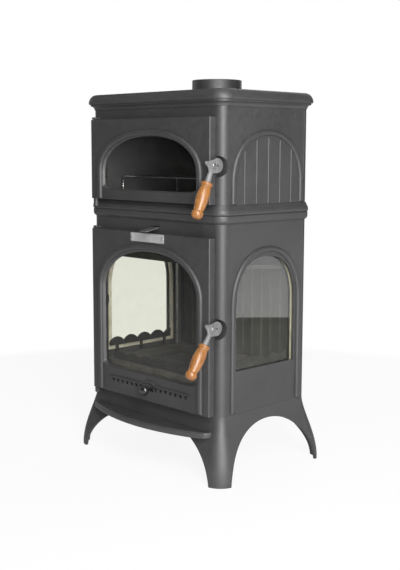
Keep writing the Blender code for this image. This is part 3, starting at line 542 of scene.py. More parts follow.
def painted_iron(name, tint=1.0, warmth=0.0):
    """Satin charcoal stove paint on sand-cast iron: fine grain, soft waves, worn sheen."""
    f = Finish(name)
    wide = f.noise(7.0, 4.0, 0.55)
    mottle = f.noise(85.0, 5.0, 0.6)
    grain = f.noise(1500.0, 2.0, 0.55)
    pits = f.cells(620.0)
    dark = (0.0285 * tint * (1 + warmth), 0.028 * tint, 0.0295 * tint * (1 - warmth))
    light = (0.0415 * tint * (1 + warmth), 0.0405 * tint, 0.0425 * tint * (1 - warmth))
    both = f.maths("ADD", f.maths("MULTIPLY", wide, 0.55), f.maths("MULTIPLY", mottle, 0.45))
    tone = f.ramp(both, (0.36, dark), (0.64, light))
    speck = f.ramp(grain, (0.30, grey(0.80)), (0.72, grey(1.16)))
    relief = f.bump(grain, 0.30, 0.0005, f.bump(pits, 0.16, 0.0006, f.bump(wide, 0.08, 0.0025)))
    return f.set(f.times(tone, speck), f.span(mottle, 0.45, 0.58), relief, IOR=1.62)


def sooty_iron(name, tint=1.0, brown=0.35):
    """Raw iron of the firebox: dull, blotched with soot and dry rust."""
    f = Finish(name)
    blotch = f.noise(26.0, 6.0, 0.62, distortion=0.6)
    grain = f.noise(900.0, 3.0, 0.6)
    soot = (0.012 * tint, 0.0115 * tint, 0.011 * tint)
    ash = (0.040 * tint, 0.038 * tint, 0.035 * tint)
    rust = (0.048 * tint, 0.031 * tint, 0.019 * tint)
    base = f.ramp(blotch, (0.34, soot), (0.55, ash), (0.75, tuple(
        a * (1 - brown) + r * brown for a, r in zip(ash, rust))))
    speck = f.ramp(grain, (0.30, grey(0.72)), (0.75, grey(1.2)))
    relief = f.bump(grain, 0.45, 0.0006, f.bump(blotch, 0.25, 0.002))
    return f.set(f.times(base, speck), f.span(blotch, 0.70, 0.92), relief, Metallic=0.1)


def tiled_hearth(name):
    """Ash-dusted hearth of square fire tiles with sooty joints."""
    f = Finish(name)
    tiles = f.node("TexBrick", offset=0.0)
    f.link(f.coords, tiles.inputs["Vector"])
    put(tiles, Scale=1.0, Mortar_Size=0.0022, Mortar_Smooth=0.3, Brick_Width=0.088,
        Row_Height=0.088)
    joint = tiles.outputs["Fac"]
    dust = f.noise(24.0, 6.0, 0.65, distortion=0.8)
    grit = f.noise(700.0, 3.0, 0.6)
    tone = f.ramp(dust, (0.34, (0.030, 0.026, 0.021)), (0.52, (0.066, 0.058, 0.045)),
                  (0.74, (0.100, 0.088, 0.068)))
    speck = f.ramp(grit, (0.30, grey(0.74)), (0.74, grey(1.2)))
    colour = f.blend(joint, f.times(tone, speck), (0.010, 0.009, 0.008))
    sunk = f.maths("SUBTRACT", 1.0, joint)
    return f.set(colour, 0.92, f.bump(grit, 0.4, 0.0006, f.bump(sunk, 0.7, 0.0015)))


def bare_steel(name, colour=(0.34, 0.34, 0.35), rough=0.38, metallic=0.9):
    f = Finish(name)
    brushed = f.noise(900.0, 3.0, 0.6, f.stretched((1.0, 1.0, 0.12)))
    stains = f.noise(60.0, 4.0, 0.6)
    stained, clean = (tuple(c * level for c in colour) for level in (0.72, 1.12))
    tone = f.ramp(stains, (0.32, stained), (0.70, clean))
    relief = f.bump(brushed, 0.18, 0.0003)
    return f.set(tone, f.span(brushed, rough - 0.08, rough + 0.12), relief, Metallic=metallic)


def chrome(name):
    f = Finish(name)
    dull = f.noise(420.0, 3.0, 0.6)
    return f.set(f.ramp(dull, (0.35, (0.66, 0.67, 0.70)), (0.65, (0.86, 0.87, 0.89))),
                 f.span(dull, 0.06, 0.20), f.bump(dull, 0.05, 0.0002), Metallic=1.0)


def varnished_wood(name, tilt):
    """Turned beech under orange-brown varnish, its grain along the grip."""
    f = Finish(name)
    along = f.stretched((1.0, 1.0, 0.10), (math.radians(tilt), 0, 0))
    rings = f.node("TexWave", wave_type="BANDS", bands_direction="Y", wave_profile="SAW")
    f.link(f.stretched((1.0, 1.0, 0.13), (math.radians(tilt + 4), 0, math.radians(24))),
           rings.inputs["Vector"])
    put(rings, Scale=95.0, Distortion=7.0, Detail=3.0, Detail_Scale=1.4)
    fibre = f.noise(1100.0, 4.0, 0.65, along)
    blotch = f.noise(46.0, 3.0, 0.5)
    grain = f.ramp(rings.outputs["Fac"], (0.05, (0.16, 0.064, 0.016)), (0.45, (0.29, 0.128, 0.034)),
                   (0.92, (0.35, 0.165, 0.050)))
    pores = f.ramp(fibre, (0.34, (0.78, 0.72, 0.68)), (0.56, (1.03, 1.02, 1.01)))
    shade = f.ramp(blotch, (0.35, (0.86, 0.80, 0.74)), (0.68, (1.08, 1.06, 1.04)))
    colour = f.times(f.times(grain, pores), shade)
    return f.set(colour, f.span(fibre, 0.30, 0.44), f.bump(fibre, 0.10, 0.0004),
                 Coat_Weight=0.25, Coat_Roughness=0.22)


def black_enamel(name):
    f = Finish(name)
    peel = f.noise(260.0, 3.0, 0.5)
    return f.set(f.ramp(peel, (0.3, (0.010, 0.010, 0.011)), (0.7, (0.020, 0.020, 0.022))),
                 f.span(peel, 0.10, 0.22), f.bump(peel, 0.08, 0.0004), Coat_Weight=0.5,
                 Coat_Roughness=0.05)


def braided_rope(name):
    f = Finish(name)
    strands = f.cells(430.0)
    fuzz = f.noise(1400.0, 3.0, 0.6)
    tone = f.ramp(strands, (0.05, (0.42, 0.39, 0.32)), (0.55, (0.16, 0.15, 0.13)))
    hairs = f.ramp(fuzz, (0.3, (0.10, 0.09, 0.08)), (0.7, (0.5, 0.47, 0.4)))
    relief = f.bump(strands, 0.8, 0.0012, f.bump(fuzz, 0.5, 0.0005))
    return f.set(f.blend(0.35, tone, hairs), 0.95, relief, Sheen_Weight=0.3)


def woven_tape(name):
    f = Finish(name)
    weave = f.cells(700.0)
    stain = f.noise(40.0, 4.0, 0.6)
    tone = f.ramp(stain, (0.30, (0.44, 0.41, 0.33)), (0.72, (0.66, 0.62, 0.52)))
    return f.set(tone, 0.93, f.bump(weave, 0.7, 0.0008))


def brushed_plate(name):
    f = Finish(name)
    lines = f.noise(700.0, 4.0, 0.7, f.stretched((0.03, 1.0, 1.0)))
    stain = f.noise(70.0, 3.0, 0.5)
    tone = f.ramp(lines, (0.28, (0.36, 0.36, 0.37)), (0.72, (0.60, 0.60, 0.61)))
    shade = f.ramp(stain, (0.3, grey(0.86)), (0.7, grey(1.05)))
    return f.set(f.times(tone, shade), f.span(lines, 0.32, 0.50), f.bump(lines, 0.25, 0.0002),
                 Metallic=0.35)


def pane_glass(name, tint, sheen, haze):
    """Clear ceramic glass: it mirrors a little and carries a faint film."""
    f = Finish(name)
    f.tree.nodes.remove(f.shader)
    through = f.node("BsdfTransparent")
    put(through, Color=(*tint, 1))
    mirror = f.node("BsdfGlossy")
    put(mirror, Roughness=0.015, Color=(0.95, 0.96, 0.97, 1))
    edge_on = f.node("LayerWeight").outputs["Facing"]
    gloss = f.maths("ADD", f.maths("MULTIPLY", f.maths("POWER", edge_on, 5.0), 0.92), sheen)
    film = f.node("BsdfDiffuse")
    put(film, Color=(0.42, 0.41, 0.39, 1))
    smears = f.span(f.noise(22.0, 5.0, 0.65, distortion=1.2), 0.001, haze, 0.40, 0.78)
    dusty = mixed(f.tree, smears, through.outputs[0], film.outputs[0])
    return f.surface(mixed(f.tree, gloss, dusty, mirror.outputs[0]))


IRON = painted_iron("painted_cast_iron")
# The top, collar and base copies are the same stove paint, made lighter or darker to stand in for
# how light falls on those parts: painted light on the top plates and the base, painted shade on the
# flue collar.
IRON_TOP_PAINTED_LIGHTER = painted_iron("cast_iron_top_painted_lighter", 1.06)
IRON_COLLAR_PAINTED_DARKER = painted_iron("cast_iron_collar_painted_darker", 0.80)
IRON_BASE_PAINTED_LIGHTER = painted_iron("cast_iron_base_painted_lighter", 1.05)
SOOT = sooty_iron("sooty_iron")
SOOT_WALL = sooty_iron("sooty_iron_wall", 0.9, 0.1)
HEARTH = tiled_hearth("ashy_hearth")
GUARD = sooty_iron("sooty_guard", 0.20, 0.1)
BAR_STEEL = bare_steel("rolled_steel_bar", (0.26, 0.26, 0.27), 0.42, 0.75)
OVEN_METAL = painted_iron("oven_enamelled_iron", 1.5, -0.05)
DARK_STEEL = bare_steel("dark_steel", (0.16, 0.16, 0.165), 0.42, 0.7)
PLAIN_STEEL = bare_steel("plain_steel")
LEVER_STEEL = bare_steel("cast_lever_steel", (0.20, 0.20, 0.205), 0.58, 0.35)
CHROME = chrome("chromed_wire")
KNOB = black_enamel("black_knob")
ROPE = braided_rope("glass_fibre_rope")
TAPE = woven_tape("sealing_tape")
PLATE = brushed_plate("brushed_nameplate")
GLASS_FRONT = pane_glass("door_glass", (0.965, 0.97, 0.945), 0.030, 0.012)
GLASS_SIDE = pane_glass("side_glass", (0.96, 0.965, 0.92), 0.045, 0.020)


# ---- base

def flare(height):
    """How far out the base has swept at a height: 0 at its top edge, 1 at the floor."""
    depth = min(max((Z_BASE - height) / Z_BASE, 0.0), 1.0) ** 0.82
    return depth * depth * (3 - 2 * depth)


def base_rings(inset, low, high, levels=26):
    heights = [high - (high - low) * i / levels for i in range(levels + 1)]
    return [body_ring(FOOT_FLARE * flare(z) - inset, z,
                      POST_RADIUS + (FOOT_RADIUS - POST_RADIUS) * flare(z) - inset * 0.6)
            for z in heights]


def arch_cutter(plane, half, rise, centre, low, high, ceiling=1.0):
    middle, steps = -0.010, 64
    points = []
    for i in range(steps + 1):
        angle = math.pi * i / steps
        v = min(middle + rise * math.sin(angle), ceiling)
        points.append((centre + half * math.cos(angle), v))
    points += [(centre - half, -0.05), (centre + half, -0.05)]
    return extruded(plane, [points], low, high)


def lip_outline(inset, back):
    """The plan of the bowed ash lip, with its swept shoulders."""
    half = LIP_HALF - inset
    reach = LIP_REACH - inset
    run = half - 0.024
    bow = [run * (i / 16 - 1) for i in range(33)]
    front = [(x, -reach + 0.97 * x * x) for x in bow]
    sweep = back - front[0][1]
    corner = smooth_run([(-half, back), (-half + 0.0025, back - 0.40 * sweep),
                         (-half + 0.010, back - 0.80 * sweep), front[0]], 4)[:-1]
    return corner + front + [(-x, y) for x, y in reversed(corner)]


def hinge_hole(casting, low, high):
    cut(casting, cylinder((HINGE_X, HINGE_Y, low), (HINGE_X, HINGE_Y, high), PIN_HOLE, 24))


def hinge_lug(casting, low, high):
    """A lug with the hole that a hinge pin sits in."""
    join(casting, box((HINGE_X - LUG_HALF, HINGE_Y - LUG_HALF, low),
                      (HINGE_X + LUG_HALF, LUG_ROOT_Y, high), 0.0015))
    hinge_hole(casting, max(low, high - PIN_DEPTH) - 0.0005, high + 0.002)


def rod_holes(low, high):
    bm = bmesh.new()
    for sx in (-1, 1):
        for sy in (-1, 1):
            made = bmesh.ops.create_cone(bm, cap_ends=True, segments=20, depth=high - low,
                                         radius1=ROD_HOLE, radius2=ROD_HOLE)
            bmesh.ops.translate(bm, verts=made["verts"],
                                vec=Vector((sx * ROD_X, sy * ROD_Y, (low + high) / 2)))
    return from_bmesh(bm)


def base_casting():
    base = stacked(base_rings(0.0, 0.0, Z_BASE))
    cut(base, stacked(base_rings(BASE_WALL, -0.004, Z_BASE - 0.009)))
    cut(base, extruded("plan", [rounded_rect(0.195, 0.110, 0.02)], 0.13, 0.18))
    cut(base, arch_cutter("side", 0.160, 0.147, SIDE_ARCH_Y, -0.4, 0.4))
    cut(base, arch_cutter("front", 0.2385, 0.145, 0.0, -0.4, -0.1, LIP_BOTTOM - 0.002))
    cut(base, arch_cutter("front", 0.2385, 0.147, 0.0, 0.1, 0.4))
    lip = extruded("plan", [lip_outline(0.0, -0.152)], LIP_BOTTOM, LIP_TOP)
    round_edges(lip, 0.0048, 5)
    join(base, lip)
    dish = extruded("plan", [lip_outline(0.010, -0.1665)], LIP_TOP - 0.005, LIP_TOP + 0.01)
    cut(base, dish)
    hinge_lug(base, 0.1496, 0.1644)
    cut(base, rod_holes(0.14, 0.18))
    piece(base, "stove_body", IRON_BASE_PAINTED_LIGHTER, "base_casting", 0.0012)


# ---- castings of the two tiers

def end_outline(sign):
    """The plan of a front or rear casting: a U whose arms end in the corner posts."""
    seam = BODY_HALF_Y - POST_RADIUS
    centre_x = BODY_HALF_X - POST_RADIUS
    outer = arc((centre_x, seam), POST_RADIUS, 0, 90, 14)
    inner = arc((centre_x, seam), POST_RADIUS - WALL, 90, 0, 10)
    right = [(x, sign * y) for x, y in outer]
    left = [(-x, y) for x, y in reversed(right)]
    inner_right = [(x, sign * y) for x, y in inner]
    inner_left = [(-x, y) for x, y in reversed(inner_right)]
    return right + left + inner_left + inner_right


def latch_pocket(casting, pivot_z):
    centre = (BODY_HALF_X - POST_RADIUS, -(BODY_HALF_Y - POST_RADIUS))
    front, back, half_height = -0.1548, -0.1362, 0.036
    outline = [(0.204, back), (0.204, front), (centre[0], front)]
    outline += arc(centre, 0.0188, 275, 359, 10)
    join(casting, extruded("plan", [outline], pivot_z - half_height, pivot_z + half_height))
    y, z = PIVOT_Y + POCKET_CENTRE[0], pivot_z + POCKET_CENTRE[1]
    cut(casting, cylinder((POCKET_FLOOR_X, y, z), (0.27, y, z), POCKET_RADIUS, 72))


def front_frame(tier, heights, pivot_z, door_top, mouth):
    """The front casting of one tier, with its doorway, latch pocket and upper hinge lug."""
    low, high = heights
    frame_casting = extruded("plan", [end_outline(-1)], low + GAP, high - GAP)
    latch_pocket(frame_casting, pivot_z)
    cut(frame_casting, extruded("front", [mouth], *THROUGH_FRONT))
    hinge_lug(frame_casting, door_top + LUG_GAP, door_top + LUG_GAP + LUG_HEIGHT)
    if tier == "lower":
        cut(frame_casting, box((-0.0035, -0.17, 0.6070), (0.0270, -0.14, 0.6140)))
    piece(frame_casting, "stove_body", IRON, tier + "_front_frame", CASTING_EDGE)


def front_frames():
    front_frame("lower", (Z_BASE, Z_BAND), FIRE_PIVOT_Z, FIRE_DOOR_Z[1],
                rounded_rect(0.189, 0.200, 0.02, 8, (0.0, 0.381)))
    front_frame("upper", (Z_UPPER, Z_COVE), OVEN_PIVOT_Z, OVEN_DOOR_Z[1],
                rounded_rect(0.187, 0.086, 0.02, 8, (0.0, 0.7775)))


def rear_panels():
    for tier, low, high in (("lower", Z_BASE, Z_BAND), ("upper", Z_UPPER, Z_COVE)):
        panel = extruded("plan", [end_outline(1)], low + GAP, high - GAP)
        field = rounded_rect(0.185, (high - low) / 2 - 0.03, 0.015, 8, (0.0, (low + high) / 2))
        cut(panel, extruded("front", [field], BODY_HALF_Y - 0.002, BODY_HALF_Y + 0.02))
        piece(panel, "stove_body", IRON, tier + "_rear_panel", CASTING_EDGE)


def rib(plane, outline, low, high, front):
    """A raised half-round moulding; front is the face that is rounded."""
    made = extruded(plane, [outline], low, high)
    bm = bmesh.new()
    bm.from_mesh(made.data)
    axis = 1 if plane == "front" else 0
    rim = [e for e in bm.edges if all(abs(v.co[axis] - front) < 1e-5 for v in e.verts)
           and e.calc_face_angle(0) > math.radians(60)]
    bmesh.ops.bevel(bm, geom=rim, offset=0.0062, segments=6, profile=0.5, affect="EDGES",
                    clamp_overlap=True)
    bm.to_mesh(made.data)
    bm.free()
    return made


def side_rib(arch, foot, side):
    outline = arch_band(*arch, foot, RIB_WIDTH, SIDE_ARCH_Y)
    out = side * (BODY_HALF_X + RIB_HEIGHT)
    faces = across(side, BODY_HALF_X - 0.0045, BODY_HALF_X + RIB_HEIGHT)
    return rib("side", outline, *faces, out)


def side_panel(tier, tag, side, heights, holes, arch, edge, *ridges):
    """A flat side casting with an arched moulding, and any ridges inside that."""
    half_y = BODY_HALF_Y - POST_RADIUS - GAP
    low, high = heights[0] + GAP, heights[1] - GAP
    rect = [(half_y, low), (half_y, high), (-half_y, high), (-half_y, low)]
    panel = extruded("side", [rect] + holes, *across(side, BODY_HALF_X - WALL, BODY_HALF_X))
    join(panel, side_rib(arch, heights[0] + RIB_FOOT, side), *ridges)
    piece(panel, "stove_body", IRON, f"{tier}_side_panel_{tag}", edge, 2)


def side_panels():
    for tag, side in SIDES:
        window = arch_opening(*WINDOW_GLASS, power=WINDOW_POWER)
        side_panel("lower", tag, side, (Z_BASE, Z_BAND), [window], WINDOW_ARCH, 0.0010)
        side_panel("upper", tag, side, (Z_UPPER, Z_COVE), [], BLIND_ARCH, 0.0007,
                   *(flute(step, side) for step in range(-2, 3)))


def flute(step, side):
    """One thin upright ridge inside the blind arch."""
    half, spring, apex = BLIND_ARCH
    y = SIDE_ARCH_Y + step * 0.042
    rise = (1 - (abs(y - SIDE_ARCH_Y) / half) ** ARCH_POWER) ** (1 / ARCH_POWER)
    top = spring + (apex - spring) * rise - 0.019
    start = 0 if side > 0 else 180
    outline = arc((y, side * BODY_HALF_X), 0.0028, start, start + 180, 8)
    foot = side * (BODY_HALF_X - 0.002)
    points = [(x, u) for u, x in outline]
    tail = [(foot, points[-1][1]), (foot, points[0][1])]
    return extruded("plan", [points + tail], Z_UPPER + 0.0018, top)


# ---- moulded plates and the top

def moulded(profile):
    """A plate with the body's plan, moulded by a run of (height, offset) points."""
    return stacked([body_ring(offset, height, steps=14) for height, offset in profile])


def moulded_frame(profile):
    plate = moulded(smooth_run(profile))
    low, high = profile[0][0], profile[-1][0]
    opening = extruded("plan", [rounded_rect(0.205, 0.122, 0.015, 6)], low - 0.01, high + 0.01)
    return cut(plate, opening, rod_holes(low - 0.01, high + 0.01))


def band_plates():
    top = moulded_frame([(Z_BAND, 0.0008), (0.6312, 0.0034), (0.6345, 0.0062), (0.6385, 0.0071),
                         (0.6475, 0.0071), (Z_NOTCH - GAP, 0.0055)])
    piece(top, "stove_body", IRON_TOP_PAINTED_LIGHTER, "firebox_top_plate", 0.0005)
    plate = moulded_frame([(Z_NOTCH, 0.0055), (0.6512, 0.0080), (0.6555, 0.0085), (0.6610, 0.0074),
                           (0.6665, 0.0047), (Z_UPPER, 0.0018)])
    join(plate, cylinder((HINGE_X, HINGE_Y, 0.656), (HINGE_X, HINGE_Y, 0.6749), 0.0068, 32))
    hinge_hole(plate, 0.667, 0.68)
    piece(plate, "stove_body", IRON_TOP_PAINTED_LIGHTER, "oven_base_plate", 0.0005)


def top_plate():
    cove = [(Z_COVE + 0.0105 * math.sin(a), 0.0122 - 0.0105 * math.cos(a))
            for a in (math.radians(9 * i) for i in range(11))]
    cove[0] = (Z_COVE, 0.0012)
    nose = [(0.9225 + 0.0225 * math.sin(a), -0.004 + 0.0212 * math.cos(a))
            for a in (math.radians(90 * i / 14) for i in range(15))]
    profile = cove + [(0.9196, 0.0124), (0.9202, 0.0164)] + nose
    plate = moulded(profile)
    cut(plate, extruded("plan", [rounded_rect(0.209, 0.126, 0.012, 6)], Z_COVE - 0.01,
                        Z_TOP - 0.009))
    cut(plate, cylinder((0, FLUE_Y, Z_TOP - 0.03), (0, FLUE_Y, Z_TOP + 0.03), FLUE_INNER, 96))
    piece(plate, "stove_body", IRON_TOP_PAINTED_LIGHTER, "top_plate", 0.0004, sharp=42)


def flue_collar():
    low, high = Z_TOP + GAP, Z_COLLAR
    outer = [(FLUE_OUTER, low), (FLUE_OUTER, high - 0.0012), (FLUE_OUTER - 0.0004, high - 0.0004),
             (FLUE_OUTER - 0.0012, high), (FLUE_INNER + 0.0012, high),
             (FLUE_INNER + 0.0004, high - 0.0004), (FLUE_INNER, high - 0.0012), (FLUE_INNER, low),
             (FLUE_OUTER, low)]
    collar = turned(outer, 96)
    moved(collar, Matrix.Translation((0, FLUE_Y, 0)))
    piece(collar, "stove_body", IRON_COLLAR_PAINTED_DARKER, "flue_collar")


# ---- inside

def scalloped_top(start, end, low, high, humps):
    """A run of round humps; a part hump comes first."""
    points = []
    steps = round(HUMP_STEPS * humps)
    skipped = round(HUMP_STEPS * (math.ceil(humps) - humps))
    for i in range(steps + 1):
        lift = abs(math.sin(math.pi * (i + skipped) / HUMP_STEPS)) ** 0.7
        points.append((start + (end - start) * i / steps, low + (high - low) * lift))
    return points


def guard_feet(front, back, underside):
    points = [(front, underside)]
    for centre in (-0.096, -0.008, 0.080):
        left, right = centre - 0.004, centre + 0.004
        points += [(left, underside), (left, GUARD_FOOT_Z), (right, GUARD_FOOT_Z),
                   (right, underside)]
    return points + [(back, underside)]


def log_guards():
    """The scalloped guards behind the side windows, and the one behind the door."""
    front, back = -0.1215, 0.1020
    for tag, side in SIDES:
        outline = guard_feet(front, back, 0.2690) + scalloped_top(back, front, 0.2790, 0.2925, 4.5)
        guard = extruded("side", [outline], *across(side, 0.2180, 0.2230))
        piece(guard, "stove_body", GUARD, "log_guard_" + tag, GUARD_EDGE)
    half = 0.176
    outline = [(-half, GUARD_FOOT_Z), (half, GUARD_FOOT_Z)]
    outline += scalloped_top(half, -half, 0.2580, 0.2680, 7)
    guard = extruded("front", [outline], -0.1440, -0.1390)
    piece(guard, "stove_body", GUARD, "log_guard_front", GUARD_EDGE)


def side_windows():
    """The side panes, each behind a frame of flat sealing tape."""
    half, spring, apex, sill = WINDOW_GLASS

    def spread(aside, above, below):
        return arch_opening(half + aside, spring, apex + above, sill - below, 0.0, WINDOW_POWER)

    for tag, side in SIDES:
        pane = extruded("side", [spread(0.009, 0.010, 0.0095)], *across(side, 0.2312, 0.2353))
        piece(pane, "stove_body", GLASS_SIDE, "side_glass_" + tag)
        outlines = [spread(0.0125, 0.0125, 0.0125), spread(0.002, 0.003, 0.003)[::-1]]
        seal = extruded("side", outlines, *across(side, 0.2265, 0.2309))
        piece(seal, "stove_body", TAPE, "side_glass_seal_" + tag, 0.0008)


def oven_rack():
    x, front, back, level, foot = 0.186, -0.100, 0.098, 0.733, 0.6876
    corner = 0.010
    plan = rounded_rect(x, (back - front) / 2, corner, 6, (0.0, (back + front) / 2))
    frame_wire = wire([(u, v, level) for u, v in plan], 0.0026, cyclic=True)
    for i in range(-6, 7):
        u = i * 0.0265
        join(frame_wire, wire([(u, front - 0.001, level), (u, back + 0.001, level)], 0.0017))
    drop = 0.012
    for sx in (-1, 1):
        for y in (front + 0.0008, back - 0.0008):
            run = smooth_run([(sx * (x - drop - 0.002), y, level),
                              (sx * (x - drop + 0.003), y, level),
                              (sx * (x - 0.003), y, level - 0.0035), (sx * x, y, level - drop),
                              (sx * x, y, foot)], 5)
            join(frame_wire, wire(run, 0.0022))
    piece(frame_wire, "oven_rack", CHROME, "oven_rack")


# ---- doors

def glazed_opening(glass):
    """The cutter of a door's arched opening, whose sides slope in from the face to the glass."""
    half, spring, apex, sill = glass
    rings = []
    for y, spread in ((BEFORE_DOOR, REVEAL), (DOOR_FRONT, REVEAL),
                      (DOOR_FRONT + DOOR_PLATE, 0.0), (BEHIND_DOOR, 0.0)):
        outline = arch_opening(half + spread, spring, apex + spread, sill - spread * 0.6,
                               GLASS_CORNER)
        rings.append([(x, y, z) for x, z in outline])
    return stacked(rings)


def door_leaf(heights, arch, glass, pivot_z):
    edge, heel = 0.003, 0.0085
    plan = (arc((DOOR_LEFT + edge, DOOR_FRONT + edge), edge, 180, 270, 6)
            + arc((DOOR_RIGHT - edge, DOOR_FRONT + edge), edge, 270, 360, 6)
            + [(DOOR_RIGHT, DOOR_BACK)]
            + arc((DOOR_LEFT + heel, DOOR_BACK - heel), heel, 90, 180, 8))
    door = extruded("plan", [plan], *heights)
    cut(door, box((DOOR_POCKET[0], DOOR_FRONT + DOOR_PLATE, heights[0] + DOOR_RIM),
                  (DOOR_POCKET[1], BEHIND_DOOR, heights[1] - DOOR_RIM)))
    cut(door, glazed_opening(glass))
    for z in heights:
        hinge_hole(door, z - 0.011, z + 0.011)
    outline = arch_band(*arch, heights[0] + 0.0020, RIB_WIDTH)
    join(door, rib("front", outline, DOOR_FRONT - RIB_HEIGHT, DOOR_FRONT + 0.004,
                   DOOR_FRONT - RIB_HEIGHT))
    join(door, cylinder((0.2138, PIVOT_Y, pivot_z), (0.2250, PIVOT_Y, pivot_z), 0.0056, 40))
    cut(door, cylinder((0.2150, PIVOT_Y, pivot_z), (0.24, PIVOT_Y, pivot_z), 0.0028, 24))
    return door


def air_inlet(door):
    """The row of air slots, the knob's slot, and the bead that rises over the knob."""
    bm = bmesh.new()
    for i in range(-8, 8):
        x = (i + 0.5) * AIR_SLOT_PITCH
        if abs(x - KNOB_X) > 0.022:
            add_box(bm, (x - AIR_SLOT_WIDTH / 2, SLOT_CUT[0], AIR_SLOT_Z[0]),
                    (x + AIR_SLOT_WIDTH / 2, SLOT_CUT[1], AIR_SLOT_Z[1]))
    half_x, half_z = KNOB_SLOT_HALF
    add_box(bm, (KNOB_X - half_x, SLOT_CUT[0], KNOB_Z - half_z),
            (KNOB_X + half_x, SLOT_CUT[1], KNOB_Z + half_z))
    cut(door, from_bmesh(bm))
    points = []
    half_bead, steps = 0.150, 80
    for i in range(steps + 1):
        x = -half_bead + 2 * half_bead * i / steps
        hump = 0.0085 * math.exp(-((x - KNOB_X) / 0.021) ** 4)
        points.append((x, DOOR_FRONT - 0.0012, 0.2075 + hump))
    join(door, wire(points, 0.0032, resolution=5))


def door_rope(tag, heights):
    """The sealing rope round the inside of a door's rim."""
    radius, inset = 0.0048, 0.0004
    left, right = DOOR_POCKET[0] + radius + inset, DOOR_POCKET[1] - radius - inset
    rim = DOOR_RIM + inset + radius
    low, high = heights[0] + rim, heights[1] - rim
    y = DOOR_FRONT + DOOR_PLATE + radius + inset
    plan = rounded_rect((right - left) / 2, (high - low) / 2, 0.012, 8,
                        ((left + right) / 2, (low + high) / 2))
    piece(wire([(u, y, v) for u, v in plan], radius, True, 5), tag + "_door", ROPE,
          tag + "_door_gasket")


def doors():
    oven = door_leaf(OVEN_DOOR_Z, OVEN_ARCH, OVEN_GLASS, OVEN_PIVOT_Z)
    piece(oven, "oven_door", IRON, "oven_door", 0.0013, 3)
    fire = door_leaf(FIRE_DOOR_Z, FIRE_ARCH, FIRE_GLASS, FIRE_PIVOT_Z)
    air_inlet(fire)
    piece(fire, "firebox_door", IRON, "firebox_door", 0.0013, 3)
    door_rope("oven", OVEN_DOOR_Z)
    door_rope("firebox", FIRE_DOOR_Z)


def nameplate():
    """A blank plate: a raised border round a sunk field, held by two domed rivets."""
    face = DOOR_FRONT - GAP
    x, low, high = 0.0625, 0.5735, 0.5955
    middle = (low + high) / 2
    holes = [arc((sx * (x - 0.006), middle), 0.0019, 360, 15, 23) for sx in (-1, 1)]
    outline = rounded_rect(x, (high - low) / 2, 0.002, 6, (0.0, middle))
    plate = extruded("front", [outline] + holes, face - 0.0010, face)
    field = rounded_rect(x - 0.0125, (high - low) / 2 - 0.0028, 0.0016, 5, (0.0, middle))
    cut(plate, extruded("front", [field], face - 0.01, face - 0.00055))
    piece(plate, "firebox_door", PLATE, "nameplate", 0.0002)
    dome = smooth_run([(0.0, 0.0016), (0.0018, 0.0013), (0.0031, 0.0)], 5)
    for tag, sx in SIDES:
        rivet = turned(dome + [(0.0015, 0.0), (0.0015, -0.0010), (0.0, -0.0010)], 32)
        spot = Matrix.Translation((sx * (x - 0.006), face - 0.0013, middle))
        moved(rivet, spot @ rotation(90, "X"))
        piece(rivet, "firebox_door", PLAIN_STEEL, "nameplate_rivet_" + tag)


# ---- latches and controls

def polar(radius, angle):
    return radius * math.cos(math.radians(angle)), radius * math.sin(math.radians(angle))


def latch_plate_outline(tilt):
    hook = polar(HOOK_REACH, tilt - 5)
    nose = arc((-0.0208, -0.0037), 0.0042, 80, 260, 12)
    neck = [(-0.0110, -0.0115), (-0.0062, -0.0185), (0.0062, -0.0185)]
    return nose + neck + arc(hook, HOOK_RADIUS, -75, 150, 40) + [(-0.0085, 0.0085)]


def latch_groove_outline(tilt):
    """The strike pin's track in the back of the hook: round the pivot, then out at its end."""
    inner, outer = GROOVE_RADIUS - GROOVE_HALF, GROOVE_RADIUS + GROOVE_HALF
    start, end = tilt - 10, tilt + LATCH_TURN
    side = math.degrees(math.asin(GROOVE_HALF / outer))
    away = polar(outer * 1.5, end)
    way_out = [(away[0] + shift[0], away[1] + shift[1])
               for shift in (polar(GROOVE_HALF, end - 90), polar(GROOVE_HALF, end + 90))]
    return (arc((0, 0), outer, start, end - side, 20) + way_out
            + arc((0, 0), inner, end + 12, start, 20))


def lying_along_x(obj):
    """Turns a piece made about Z so that its top faces the stove's right."""
    return moved(obj, rotation(90, "Y"))


GRIP_PROFILE = [
    (0.0, -0.0440), (0.0105, -0.0440), (0.0128, -0.0447), (0.0139, -0.0466), (0.0140, -0.0490),
    (0.0131, -0.0514), (0.0122, -0.0532), (0.0119, -0.0545), (0.0124, -0.0567), (0.0138, -0.0632),
    (0.0152, -0.0740), (0.0155, -0.0827), (0.0148, -0.0936), (0.0132, -0.1044), (0.0118, -0.1126),
    (0.0117, -0.1144), (0.0124, -0.1157), (0.0138, -0.1179), (0.0142, -0.1218), (0.0132, -0.1271),
    (0.0095, -0.1321), (0.0045, -0.1339), (0.0, -0.1343)]


